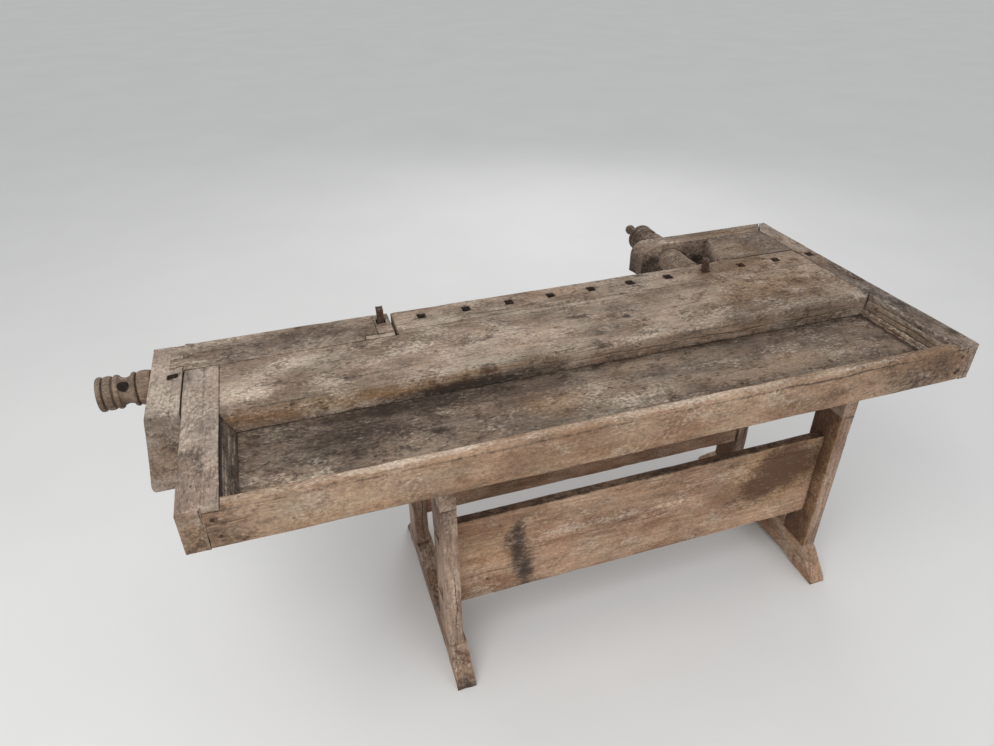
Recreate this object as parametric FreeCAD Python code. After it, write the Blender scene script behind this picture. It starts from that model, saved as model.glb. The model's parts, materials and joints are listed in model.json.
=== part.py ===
import FreeCAD, Part
import math
import os
from FreeCAD import Vector

# Joiner's bench: a thick top with a tool tray, a tail vise at the left end and a shoulder vise at
# the right front corner, on two sled-footed trestles joined by two wide stretchers.
#
# Everything is laid out in bench coordinates, in millimetres: X runs along the bench from the outer
# face of the left end cap, Y runs from the outer face of the tray rail towards the worker, and Z is
# up from the floor. The last step moves every piece so that the origin is under the middle of the
# whole bench.

# ---------------------------------------------------------------- the top
BENCH_HEIGHT = 850.0
TOP_LENGTH = 2000.0
TOP_DEPTH = 690.0
TOP_THICKNESS = 109.0
LEFT_CAP_WIDTH = 86.0
RIGHT_CAP_WIDTH = 66.0
RAIL_THICKNESS = 30.0
TRAY_WIDTH = 292.0
TRAY_DROP = 62.0
TRAY_BOARD_THICKNESS = 18.0
TRAY_HOUSING = 8.0
DOG_STRIP_WIDTH = 115.0
TONGUE_LENGTH = 16.0
TONGUE_THICKNESS = 28.0
TONGUE_DROP = 38.0
RAIL_LAP_LENGTH = 36.0
RAIL_LAP_COVER = 12.0
LEFT_RAMP_FOOT = 30.0
RIGHT_RAMP_FOOT = 26.0
RIGHT_RAMP_STEP_DROP = 42.0
RIGHT_RAMP_STEP_FOOT = 15.0
RIGHT_RAMP_TOP_DROP = 16.0
RIGHT_RAMP_TOP_FOOT = 5.0
NAIL_RADIUS = 2.2
NAIL_HEAD_RADIUS = 4.6
NAIL_HEAD_THICKNESS = 2.6
NAIL_LENGTH = 52.0

# ---------------------------------------------------------------- bench dogs and their holes
DOG_WIDTH = 22.0
DOG_DEPTH = 24.0
DOG_LENGTH = 148.0
DOG_RAISED = 45.0
DOG_CLEARANCE = 0.7
DOG_PITCH = 132.5
DOG_COUNT = 10
FIRST_DOG_FROM_SLOT = 82.0
DOG_ROW_FROM_FRONT = 52.0
RAISED_DOG_INDEX = 7
SPRING_THICKNESS = 2.4
SPRING_WIDTH = 12.0
SPRING_LENGTH = 88.0
SPRING_RISE = 0.3
SPRING_TOP_DROP = 12.0

# ---------------------------------------------------------------- wooden screws
TAIL_THREAD_RADIUS = 30.0
FRONT_THREAD_RADIUS = 42.0
THREAD_PITCH = 12.0
THREAD_DEPTH = 6.0
THREAD_CLEARANCE = 0.8
THREAD_BITE = 0.6
SHANK_CLEARANCE = 0.3
TAIL_HEAD_RADIUS = 46.0
FRONT_HEAD_RADIUS = 48.0
HEAD_WAIST_DEPTH = 8.0
BAR_HOLE_RADIUS = 14.0
SEAT_CLEARANCE = 0.5
GARTER_GROOVE_DEPTH = 7.0

# ---------------------------------------------------------------- tail vise
TAIL_SLOT_LENGTH = 556.0
TAIL_SLOT_DEPTH = 139.0
TAIL_JAW_GAP = 7.0
TAIL_TRAVEL = 180.0
TAIL_SIDE_GAP = 2.0
TAIL_END_GAP = 2.0
TAIL_FRONT_PROUD = 4.0
TAIL_HEAD_WIDTH = 78.0
TAIL_HEAD_BULGE = 33.0
TAIL_HEAD_LENGTH = 339.0
TAIL_HEAD_HEIGHT = 222.0
TAIL_BOARD_THICKNESS = 24.0
TAIL_FRONT_THICKNESS = 26.0
TAIL_JAW_LENGTH = 47.0
TAIL_JAW_HEIGHT = 107.0
TAIL_DOVETAIL_LENGTH = 33.0
TAIL_LAP_LENGTH = 36.0
TAIL_LAP_WIDTH = 23.0
TAIL_AXIS_FROM_SLOT = 61.0
TAIL_AXIS_DROP = 66.0
TAIL_NOSE_WIDTH = 99.0
TAIL_NOSE_DROP = 27.0
TAIL_SCREW_SPARE = 24.0
TAIL_BAR_ANGLE = 50.0
RUNNER_SIZE = 36.0
RUNNER_GAP = 0.5
HANGER_LENGTH = 70.0
HANGER_START = 120.0
HANGER_CHEEK = 13.0
HANGER_PLATE = 22.0
GUIDE_STRIP_HEIGHT = 20.0
GUIDE_STRIP_DEPTH = 8.0
GUIDE_STRIP_DROP = 60.0
GUIDE_STRIP_OVERHANG = 16.0
TAIL_TIE_SIZE = 38.0
TAIL_DOG_FROM_JAW_MIDDLE = 4.0
TAIL_DOG_FROM_ROW = 9.0
WEDGE_SLOT_LENGTH = 33.0
WEDGE_SLOT_WIDTH = 18.0
WEDGE_SLOT_OFFSET = 16.0
WEDGE_SINK = 14.0
WEDGE_TAPER = 3.0
TAIL_KEY_THICKNESS = 14.0
TAIL_KEY_WIDTH = 26.0
TAIL_KEY_OFFSET = 36.0

# ---------------------------------------------------------------- shoulder vise at the front
SHOULDER_OPENING = 178.0
BEAM_THICKNESS = 65.0
BEAM_LENGTH = 544.0
BEAM_END_SKEW = 13.0
SHOULDER_BACK_WIDTH = 281.0
SHOULDER_FRONT_WIDTH = 224.0
BEAM_DOVETAIL = 44.0
BEAM_INNER_ROUND = 60.0
BEAM_OUTER_ROUND = 48.0
FRONT_AXIS_FROM_BEAM_END = 121.0
FRONT_AXIS_DROP = 59.0
FRONT_TRAVEL = 130.0
FRONT_SCREW_STANDOFF = 24.0
FRONT_BAR_ANGLE = 50.0
CHOP_GAP = 2.0
CHOP_THICKNESS = 34.0
CHOP_SIDE_GAP = 3.0
CHOP_TOP_DROP = 24.0
CHOP_BOTTOM_DROP = 190.0
CHOP_ROUND = 58.0
CHOP_SPIGOT_RADIUS = 22.0
CHOP_SPIGOT_WALL = 8.0
CHOP_KEY_THICKNESS = 10.0
CHOP_KEY_WIDTH = 17.0
CHOP_GUIDE_WIDTH = 30.0
CHOP_GUIDE_SPARE = 20.0
CHOP_GUIDE_INSET = 7.0
CHOP_HANGER_FROM_FRONT = 40.0
CHOP_HANGER_LENGTH = 60.0
GUIDE_DROP = 4.5
KNOB_CONE_LENGTH = 18.0
KNOB_NECK_RADIUS = 12.0
KNOB_NECK_LENGTH = 42.0
KNOB_RADIUS = 18.0
KNOB_LENGTH = 36.0

# ---------------------------------------------------------------- the base
LEFT_TRESTLE_BEFORE_SLOT_END = 16.0
RIGHT_TRESTLE_INSET = 240.0
POST_THICKNESS = 44.0
POST_WIDTH = 102.0
REAR_POST_Y = 98.0
FRONT_POST_INSET = 83.0
FOOT_WIDTH = 54.0
FOOT_HEIGHT = 95.0
FOOT_TIP = 78.0
FOOT_ARCH_HEIGHT = 12.0
FOOT_PAD_LENGTH = 105.0
BEARER_HEIGHT = 141.0
POST_TENON_WIDTH = 70.0
POST_TENON_THICKNESS = 18.0
POST_TENON_LENGTH = 50.0
STRETCHER_THICKNESS = 28.0
STRETCHER_HEIGHT = 296.0
STRETCHER_BOTTOM = 214.0
REAR_STRETCHER_INSET = 42.0
FRONT_STRETCHER_INSET = 6.0
STRETCHER_TENON_HEIGHT = 46.0
STRETCHER_TENON_TOP_INSET = 13.0
STRETCHER_TENON_BOTTOM_INSET = 24.0
TENON_PROUD = 2.0
WEDGE_THICK_END = 6.0
WEDGE_THIN_END = 1.5
WEDGE_LENGTH = 34.0
PEG_RADIUS = 10.0
PEG_HALF_LENGTH = 35.0
PEG_FROM_SLAB_REAR = 58.0
PEG_SPACING = 120.0

# ---------------------------------------------------------------- sizes worked out from those above
TOP_UNDERSIDE = BENCH_HEIGHT - TOP_THICKNESS
SLAB_REAR = RAIL_THICKNESS + TRAY_WIDTH
SLAB_RIGHT = TOP_LENGTH - RIGHT_CAP_WIDTH
STRIP_REAR = TOP_DEPTH - DOG_STRIP_WIDTH
SLOT_REAR = TOP_DEPTH - TAIL_SLOT_DEPTH
ARM_REAR = SLOT_REAR + TAIL_SIDE_GAP
ARM_FRONT = TOP_DEPTH + TAIL_FRONT_PROUD
JAW_RIGHT = TAIL_SLOT_LENGTH - TAIL_JAW_GAP
JAW_LEFT = JAW_RIGHT - TAIL_JAW_LENGTH
TAIL_HEAD_RIGHT = -TAIL_END_GAP
TAIL_HEAD_LEFT = TAIL_HEAD_RIGHT - TAIL_HEAD_WIDTH
TAIL_AXIS_Y = SLOT_REAR + TAIL_AXIS_FROM_SLOT
TAIL_AXIS_Z = BENCH_HEIGHT - TAIL_AXIS_DROP
TAIL_SCREW_REACH = LEFT_CAP_WIDTH + TAIL_TRAVEL + TAIL_SCREW_SPARE
BEAM_INNER = TOP_DEPTH + SHOULDER_OPENING
BEAM_OUTER = BEAM_INNER + BEAM_THICKNESS
BEAM_END = TOP_LENGTH - BEAM_LENGTH
FRONT_AXIS_X = BEAM_END + FRONT_AXIS_FROM_BEAM_END
FRONT_AXIS_Z = BENCH_HEIGHT - FRONT_AXIS_DROP
CHOP_RIGHT = SLAB_RIGHT - SHOULDER_BACK_WIDTH - CHOP_SIDE_GAP
CHOP_LEFT = 2 * FRONT_AXIS_X - CHOP_RIGHT
CHOP_INNER = TOP_DEPTH + CHOP_GAP
CHOP_OUTER = CHOP_INNER + CHOP_THICKNESS
CHOP_HANGER_REAR = TOP_DEPTH - CHOP_HANGER_FROM_FRONT - CHOP_HANGER_LENGTH
CHOP_GUIDE_REAR = CHOP_HANGER_REAR - FRONT_TRAVEL - CHOP_GUIDE_SPARE
DOG_ROW_Y = TOP_DEPTH - DOG_ROW_FROM_FRONT
RUNNER_Y = SLOT_REAR + 1.0 - RUNNER_SIZE
RUNNER_TOP = TOP_UNDERSIDE - RUNNER_GAP
RUNNER_BOTTOM = RUNNER_TOP - RUNNER_SIZE
TIE_LEFT = JAW_LEFT - TAIL_TIE_SIZE
TIE_FRONT = ARM_REAR + TAIL_TIE_SIZE
GUIDE_STRIP_START = TIE_LEFT - TAIL_TRAVEL + GUIDE_STRIP_OVERHANG
LEFT_TRESTLE_X = TAIL_SLOT_LENGTH - LEFT_TRESTLE_BEFORE_SLOT_END
RIGHT_TRESTLE_X = TOP_LENGTH - RIGHT_TRESTLE_INSET - POST_THICKNESS
FRONT_POST_Y = TOP_DEPTH - FRONT_POST_INSET - POST_WIDTH
TRESTLE_DEPTH = FRONT_POST_Y + POST_WIDTH - REAR_POST_Y
BEARER_BOTTOM = TOP_UNDERSIDE - BEARER_HEIGHT
POST_TOP = BEARER_BOTTOM

# Turned head of a wooden screw, from its seat outwards: a wide ring, a groove, a bead, the hollow
# waist that the bar goes through, another bead, a groove, a barrel, a groove and the end lip.
HEAD_RING_LENGTH = 33.0
HEAD_INNER_BEAD_LENGTH = 10.0
HEAD_WAIST_LENGTH = 30.0
HEAD_OUTER_BEAD_LENGTH = 14.0
HEAD_BARREL_LENGTH = 19.0
HEAD_LIP_LENGTH = 13.0
HEAD_GROOVE_LENGTH = 4.0
HEAD_GROOVE_DEPTH = 3.5
HEAD_LENGTH = (HEAD_RING_LENGTH + HEAD_INNER_BEAD_LENGTH + HEAD_WAIST_LENGTH
               + HEAD_OUTER_BEAD_LENGTH + HEAD_BARREL_LENGTH + HEAD_LIP_LENGTH
               + 3 * HEAD_GROOVE_LENGTH)
BAR_HOLE_FROM_SEAT = (HEAD_RING_LENGTH + HEAD_GROOVE_LENGTH + HEAD_INNER_BEAD_LENGTH
                      + HEAD_WAIST_LENGTH * 0.6)

RIGHT, BACK, UP = Vector(1, 0, 0), Vector(0, 1, 0), Vector(0, 0, 1)


# ---------------------------------------------------------------- helpers
def box(x_low, x_high, y_low, y_high, z_low, z_high):
    """A block between two corners."""
    return Part.makeBox(x_high - x_low, y_high - y_low, z_high - z_low, Vector(x_low, y_low, z_low))


def prism(points, direction):
    """A flat outline pushed along a direction."""
    return Part.Face(Part.makePolygon(points + points[:1])).extrude(direction)


def prism_xz(outline, y_low, y_high):
    """An outline of (x, z) points, pushed from y_low to y_high."""
    return prism([Vector(x, y_low, z) for x, z in outline], BACK * (y_high - y_low))


def prism_xy(outline, z_low, z_high):
    """An outline of (x, y) points, pushed from z_low to z_high."""
    return prism([Vector(x, y, z_low) for x, y in outline], UP * (z_high - z_low))


def prism_yz(outline, x_low, x_high):
    """An outline of (y, z) points, pushed from x_low to x_high."""
    return prism([Vector(x_low, y, z) for y, z in outline], RIGHT * (x_high - x_low))


def from_top(drop):
    """Height of a point that lies this far below the bench's surface."""
    return BENCH_HEIGHT - drop


def tongue(x_low, x_high, y_low, y_high):
    """The tongue that joins the long boards' ends to a cap."""
    return box(x_low, x_high, y_low, y_high,
               from_top(TONGUE_DROP + TONGUE_THICKNESS), from_top(TONGUE_DROP))


def along_axis(shape, tip, outward):
    """Turn a shape built up +Z from the origin so that it starts at tip and points outward."""
    turned = shape.copy()
    turned.Placement = FreeCAD.Placement(tip, FreeCAD.Rotation(UP, outward))
    return turned


# ---------------------------------------------------------------- wooden screws
def thread_ridge(core_radius, tip_radius, root_width, crest_width, start, length):
    """A helical ridge round +Z, from start up to start + length."""
    helix = Part.makeHelix(THREAD_PITCH, length, core_radius)
    outline = Part.makePolygon([
        Vector(core_radius, 0, -root_width / 2), Vector(tip_radius, 0, -crest_width / 2),
        Vector(tip_radius, 0, crest_width / 2), Vector(core_radius, 0, root_width / 2),
        Vector(core_radius, 0, -root_width / 2)])
    ridge = Part.Wire(helix).makePipeShell([outline], True, True)
    ridge.translate(Vector(0, 0, start))
    return ridge


def male_ridge(radius, start, end):
    """The ridge that runs round the threaded stretch of a wooden screw."""
    turns = math.floor((end - start - THREAD_PITCH) / THREAD_PITCH)
    return thread_ridge(radius - THREAD_DEPTH - THREAD_BITE, radius,
                        THREAD_PITCH * 0.8, THREAD_PITCH * 0.2,
                        start + THREAD_PITCH / 2, turns * THREAD_PITCH)


def female_thread(radius, screw_start, low, high):
    """What is cut out of a nut between two heights, in step with the screw that starts lower down."""
    core_radius = radius - THREAD_DEPTH + THREAD_CLEARANCE
    lead = screw_start + THREAD_PITCH / 2
    first = lead + math.floor((low - lead) / THREAD_PITCH - 1) * THREAD_PITCH
    turns = math.ceil((high - first) / THREAD_PITCH) + 1
    widening = 2.2 * THREAD_CLEARANCE
    ridge = thread_ridge(core_radius - THREAD_BITE, radius + THREAD_CLEARANCE,
                         THREAD_PITCH * 0.8 + widening, THREAD_PITCH * 0.2 + widening,
                         first, turns * THREAD_PITCH)
    core = Part.makeCylinder(core_radius, (turns + 2) * THREAD_PITCH,
                             Vector(0, 0, first - THREAD_PITCH))
    return core.fuse(ridge)


def ring(start, length, radius, round_off):
    """One turned ring's outline, as (radius, height) points."""
    return [(radius - round_off, start), (radius, start + round_off),
            (radius, start + length - round_off), (radius - round_off, start + length)]


def head_outline(seat, radius):
    """Outline of a turned head from its seat out to its end, as (radius, height) points."""
    groove = radius - HEAD_GROOVE_DEPTH
    waist = radius - HEAD_WAIST_DEPTH
    points = ring(seat, HEAD_RING_LENGTH, radius, 2.5)
    height = seat + HEAD_RING_LENGTH
    points += [(groove, height), (groove, height + HEAD_GROOVE_LENGTH)]
    height += HEAD_GROOVE_LENGTH
    points += ring(height, HEAD_INNER_BEAD_LENGTH, radius - 0.5, 2.0)
    height += HEAD_INNER_BEAD_LENGTH
    points += [(waist, height + 6.0), (waist, height + HEAD_WAIST_LENGTH - 8.0)]
    height += HEAD_WAIST_LENGTH
    points += ring(height, HEAD_OUTER_BEAD_LENGTH, radius - 1.0, 2.0)
    height += HEAD_OUTER_BEAD_LENGTH
    points += [(groove, height), (groove, height + HEAD_GROOVE_LENGTH)]
    height += HEAD_GROOVE_LENGTH
    points += ring(height, HEAD_BARREL_LENGTH, radius - 1.0, 2.0)
    height += HEAD_BARREL_LENGTH
    points += [(groove, height), (groove, height + HEAD_GROOVE_LENGTH)]
    height += HEAD_GROOVE_LENGTH
    return points + ring(height, HEAD_LIP_LENGTH, radius, 3.0)


def knob_outline(start, radius):
    """A cone, a neck and a round knob on the end of a head that has this radius."""
    neck_start = start + KNOB_CONE_LENGTH
    knob_start = neck_start + KNOB_NECK_LENGTH
    end = knob_start + KNOB_LENGTH
    shoulder = KNOB_RADIUS * 0.72
    return [(radius * 0.8, start), (KNOB_NECK_RADIUS + 2.0, neck_start),
            (KNOB_NECK_RADIUS, neck_start + 6.0), (KNOB_NECK_RADIUS, knob_start),
            (shoulder, knob_start + 2.0), (KNOB_RADIUS, knob_start + KNOB_LENGTH * 0.3),
            (KNOB_RADIUS, end - KNOB_LENGTH * 0.4), (shoulder, end - 5.0), (shoulder - 6.0, end)]


def turned_screw(outline, bar_hole_height, bar_angle):
    """What comes off the lathe before the thread is cut, with the cross hole for the bar."""
    outline = [(0.0, outline[0][1])] + outline + [(0.0, outline[-1][1])]
    face = Part.Face(Part.makePolygon([Vector(r, 0, z) for r, z in outline + outline[:1]]))
    body = face.revolve(Vector(0, 0, 0), UP, 360)
    reach = 2 * FRONT_HEAD_RADIUS
    hole = Part.makeCylinder(BAR_HOLE_RADIUS, 2 * reach, Vector(-reach, 0, 0), RIGHT)
    hole.rotate(Vector(0, 0, 0), UP, bar_angle)
    hole.translate(Vector(0, 0, bar_hole_height))
    return body.cut(hole)


# ---------------------------------------------------------------- the top
def slab():
    outline = [(LEFT_CAP_WIDTH, SLAB_REAR), (SLAB_RIGHT, SLAB_REAR), (SLAB_RIGHT, STRIP_REAR),
               (TAIL_SLOT_LENGTH, STRIP_REAR), (TAIL_SLOT_LENGTH, SLOT_REAR),
               (LEFT_CAP_WIDTH, SLOT_REAR)]
    body = prism_xy(outline, TOP_UNDERSIDE, BENCH_HEIGHT)
    body = body.fuse(tongue(LEFT_CAP_WIDTH - TONGUE_LENGTH, LEFT_CAP_WIDTH, SLAB_REAR, SLOT_REAR))
    body = body.fuse(tongue(SLAB_RIGHT, SLAB_RIGHT + TONGUE_LENGTH, SLAB_REAR, STRIP_REAR))
    groove = box(LEFT_CAP_WIDTH, SLAB_RIGHT, SLAB_REAR, SLAB_REAR + TRAY_HOUSING,
                 from_top(TRAY_DROP + TRAY_BOARD_THICKNESS), from_top(TRAY_DROP))
    return body.cut(groove).cut(top_pegs()).removeSplitter()


def dog_hole(x, y, low):
    """Square hole through the top for a bench dog."""
    half_x = DOG_WIDTH / 2 + DOG_CLEARANCE
    half_y = DOG_DEPTH / 2 + DOG_CLEARANCE
    return box(x - half_x, x + half_x, y - half_y, y + half_y, low, BENCH_HEIGHT + 1.0)


def dog_x(index):
    return TAIL_SLOT_LENGTH + FIRST_DOG_FROM_SLOT + DOG_PITCH * index


def dog_strip():
    body = box(TAIL_SLOT_LENGTH, SLAB_RIGHT, STRIP_REAR, TOP_DEPTH, TOP_UNDERSIDE, BENCH_HEIGHT)
    body = body.fuse(tongue(SLAB_RIGHT, SLAB_RIGHT + TONGUE_LENGTH, STRIP_REAR, TOP_DEPTH))
    holes = [dog_hole(dog_x(index), DOG_ROW_Y, TOP_UNDERSIDE - 1.0) for index in range(DOG_COUNT)]
    return body.removeSplitter().cut(Part.makeCompound(holes))


def tray_rail():
    long_part = box(LEFT_CAP_WIDTH, SLAB_RIGHT, 0, RAIL_THICKNESS, TOP_UNDERSIDE, BENCH_HEIGHT)
    lap = box(LEFT_CAP_WIDTH - RAIL_LAP_LENGTH, SLAB_RIGHT + RAIL_LAP_LENGTH, 0, RAIL_THICKNESS,
              TOP_UNDERSIDE, from_top(RAIL_LAP_COVER))
    groove = box(LEFT_CAP_WIDTH, SLAB_RIGHT, RAIL_THICKNESS - TRAY_HOUSING, RAIL_THICKNESS,
                 from_top(TRAY_DROP + TRAY_BOARD_THICKNESS), from_top(TRAY_DROP))
    return long_part.fuse(lap).removeSplitter().cut(groove).cut(rail_nails())


def rail_nail_places():
    """(x, z) of each nail through the rail's ends into the caps."""
    left = LEFT_CAP_WIDTH - RAIL_LAP_LENGTH
    right = SLAB_RIGHT + RAIL_LAP_LENGTH
    return [(left + 16.0, from_top(32.0)), (left + 24.0, from_top(78.0)),
            (right - 14.0, from_top(36.0)), (right - 20.0, from_top(84.0))]


def rail_nails():
    nails = []
    for x, z in rail_nail_places():
        head = Part.makeCylinder(NAIL_HEAD_RADIUS, NAIL_HEAD_THICKNESS,
                                 Vector(x, 0, z), BACK)
        shank = Part.makeCylinder(NAIL_RADIUS, NAIL_LENGTH, Vector(x, 0, z), BACK)
        nails.append(head.fuse(shank).removeSplitter())
    return Part.makeCompound(nails)


def tray_board():
    return box(LEFT_CAP_WIDTH, SLAB_RIGHT, RAIL_THICKNESS - TRAY_HOUSING, SLAB_REAR + TRAY_HOUSING,
               from_top(TRAY_DROP + TRAY_BOARD_THICKNESS), from_top(TRAY_DROP))


def left_tray_ramp():
    corner = LEFT_CAP_WIDTH
    floor = from_top(TRAY_DROP)
    outline = [(corner, floor), (corner + LEFT_RAMP_FOOT, floor), (corner, from_top(3.0))]
    return prism_xz(outline, RAIL_THICKNESS, SLAB_REAR)


def right_tray_ramp_lower():
    outline = [(SLAB_RIGHT, from_top(TRAY_DROP)), (SLAB_RIGHT, from_top(RIGHT_RAMP_STEP_DROP)),
               (SLAB_RIGHT - RIGHT_RAMP_STEP_FOOT, from_top(RIGHT_RAMP_STEP_DROP)),
               (SLAB_RIGHT - RIGHT_RAMP_FOOT, from_top(TRAY_DROP))]
    return prism_xz(outline, RAIL_THICKNESS, SLAB_REAR)


def right_tray_ramp_upper():
    step = from_top(RIGHT_RAMP_STEP_DROP)
    top = from_top(RIGHT_RAMP_TOP_DROP)
    outline = [(SLAB_RIGHT, step), (SLAB_RIGHT, top), (SLAB_RIGHT - RIGHT_RAMP_TOP_FOOT, top),
               (SLAB_RIGHT - RIGHT_RAMP_STEP_FOOT, step)]
    return prism_xz(outline, RAIL_THICKNESS, SLAB_REAR)


def tail_nose():
    """The cap's forward part, which holds the tail screw's nut inside the vise's hollow arm."""
    return box(0, LEFT_CAP_WIDTH, SLOT_REAR, SLOT_REAR + TAIL_NOSE_WIDTH,
               TOP_UNDERSIDE, from_top(TAIL_NOSE_DROP))


def left_end_cap():
    body = box(0, LEFT_CAP_WIDTH, 0, SLOT_REAR, TOP_UNDERSIDE, BENCH_HEIGHT)
    body = body.fuse(tail_nose()).removeSplitter()
    body = body.cut(tongue(LEFT_CAP_WIDTH - TONGUE_LENGTH, LEFT_CAP_WIDTH, SLAB_REAR, SLOT_REAR))
    body = body.cut(tray_rail()).cut(rail_nails())
    nut = female_thread(TAIL_THREAD_RADIUS, 0, TAIL_SCREW_REACH - LEFT_CAP_WIDTH, TAIL_SCREW_REACH)
    return body.cut(along_axis(nut, tail_screw_tip(), RIGHT * -1))


def right_end_cap():
    body = box(SLAB_RIGHT, TOP_LENGTH, 0, BEAM_OUTER, TOP_UNDERSIDE, BENCH_HEIGHT)
    body = body.cut(tongue(SLAB_RIGHT, SLAB_RIGHT + TONGUE_LENGTH, SLAB_REAR, TOP_DEPTH))
    body = body.cut(tray_rail()).cut(rail_nails()).cut(beam_blank())
    return body.cut(dog_hole(dog_x(DOG_COUNT), DOG_ROW_Y, TOP_UNDERSIDE - 1.0))


def top_pegs():
    """Round pegs that locate the top on the bearers."""
    pegs = []
    for trestle_x in (LEFT_TRESTLE_X, RIGHT_TRESTLE_X):
        for index in range(2):
            foot = Vector(trestle_x + POST_THICKNESS / 2,
                          SLAB_REAR + PEG_FROM_SLAB_REAR + PEG_SPACING * index,
                          TOP_UNDERSIDE - PEG_HALF_LENGTH)
            pegs.append(Part.makeCylinder(PEG_RADIUS, 2 * PEG_HALF_LENGTH, foot))
    return Part.makeCompound(pegs)


# ---------------------------------------------------------------- tail vise
def tail_screw_tip():
    return Vector(TAIL_SCREW_REACH, TAIL_AXIS_Y, TAIL_AXIS_Z)


def tail_seat():
    """How far the head block's outer face stands left of its top edge at the screw's height."""
    share = TAIL_AXIS_DROP / TAIL_HEAD_HEIGHT
    return TAIL_HEAD_LEFT - TAIL_HEAD_BULGE * share


def tail_shank_start():
    """Distance from the screw's tip to where its plain shank begins."""
    return TAIL_SCREW_REACH - TAIL_HEAD_RIGHT + SEAT_CLEARANCE


def tail_key_place():
    """Lowest x of the garter key."""
    return TAIL_HEAD_RIGHT - TAIL_KEY_OFFSET - TAIL_KEY_THICKNESS


def tail_screw():
    core = TAIL_THREAD_RADIUS - THREAD_DEPTH
    neck = TAIL_THREAD_RADIUS - GARTER_GROOVE_DEPTH
    shank_start = tail_shank_start()
    key_end = TAIL_SCREW_REACH - tail_key_place()
    key_start = key_end - TAIL_KEY_THICKNESS
    seat = TAIL_SCREW_REACH - tail_seat() + SEAT_CLEARANCE
    outline = [(core, 0), (core, shank_start), (TAIL_THREAD_RADIUS, shank_start),
               (TAIL_THREAD_RADIUS, key_start), (neck, key_start), (neck, key_end),
               (TAIL_THREAD_RADIUS, key_end), (TAIL_THREAD_RADIUS, seat)]
    outline += head_outline(seat, TAIL_HEAD_RADIUS)
    screw = turned_screw(outline, seat + BAR_HOLE_FROM_SEAT, TAIL_BAR_ANGLE - 90.0)
    screw = screw.fuse(male_ridge(TAIL_THREAD_RADIUS, 0, shank_start))
    return along_axis(screw, tail_screw_tip(), RIGHT * -1)


def tail_garter_key():
    edge = TAIL_AXIS_Y - TAIL_THREAD_RADIUS + GARTER_GROOVE_DEPTH - SHANK_CLEARANCE
    low = tail_key_place() + SHANK_CLEARANCE
    high = low + TAIL_KEY_THICKNESS - 2 * SHANK_CLEARANCE
    return box(low, high, edge - TAIL_KEY_WIDTH, edge,
               from_top(TAIL_HEAD_HEIGHT), TAIL_AXIS_Z + TAIL_THREAD_RADIUS)


def head_outer_edge():
    """The head block's bulging outer face, from its top edge down to its bottom edge."""
    top = Vector(TAIL_HEAD_LEFT, 0, BENCH_HEIGHT)
    middle = Vector(TAIL_HEAD_LEFT - TAIL_HEAD_BULGE * 0.42, 0, from_top(TAIL_HEAD_HEIGHT * 0.42))
    low = Vector(TAIL_HEAD_LEFT - TAIL_HEAD_BULGE, 0, from_top(TAIL_HEAD_HEIGHT - 24.0))
    corner = Vector(TAIL_HEAD_LEFT - TAIL_HEAD_BULGE + 9.0, 0, from_top(TAIL_HEAD_HEIGHT))
    knee = Vector(TAIL_HEAD_LEFT - TAIL_HEAD_BULGE + 1.5, 0, from_top(TAIL_HEAD_HEIGHT - 10.0))
    return [Part.Arc(top, middle, low).toShape(), Part.Arc(low, knee, corner).toShape()]


def tail_dovetails():
    """The two tails of the arm's top board, which are let into the head block."""
    low = from_top(TAIL_BOARD_THICKNESS)
    arm_width = ARM_FRONT - ARM_REAR
    tails = []
    for centre in (ARM_REAR + arm_width * 0.30, ARM_REAR + arm_width * 0.74):
        root, tip = arm_width * 0.135, arm_width * 0.178
        outline = [(TAIL_HEAD_RIGHT, centre - root), (TAIL_HEAD_RIGHT, centre + root),
                   (TAIL_HEAD_RIGHT - TAIL_DOVETAIL_LENGTH, centre + tip),
                   (TAIL_HEAD_RIGHT - TAIL_DOVETAIL_LENGTH, centre - tip)]
        tails.append(prism_xy(outline, low, BENCH_HEIGHT))
    return tails


def runner_tenon():
    shoulder = 6.0
    return box(TAIL_HEAD_RIGHT - TAIL_HEAD_WIDTH + 10.0, TAIL_HEAD_RIGHT,
               RUNNER_Y, RUNNER_Y + RUNNER_SIZE, RUNNER_BOTTOM + shoulder, RUNNER_TOP - shoulder)


def wedge_slot():
    left = TAIL_HEAD_RIGHT - WEDGE_SLOT_OFFSET - WEDGE_SLOT_LENGTH
    middle = RUNNER_Y + RUNNER_SIZE / 2
    return box(left, left + WEDGE_SLOT_LENGTH, middle - WEDGE_SLOT_WIDTH / 2,
               middle + WEDGE_SLOT_WIDTH / 2, RUNNER_BOTTOM - 4.0, BENCH_HEIGHT + 1.0)


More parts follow.
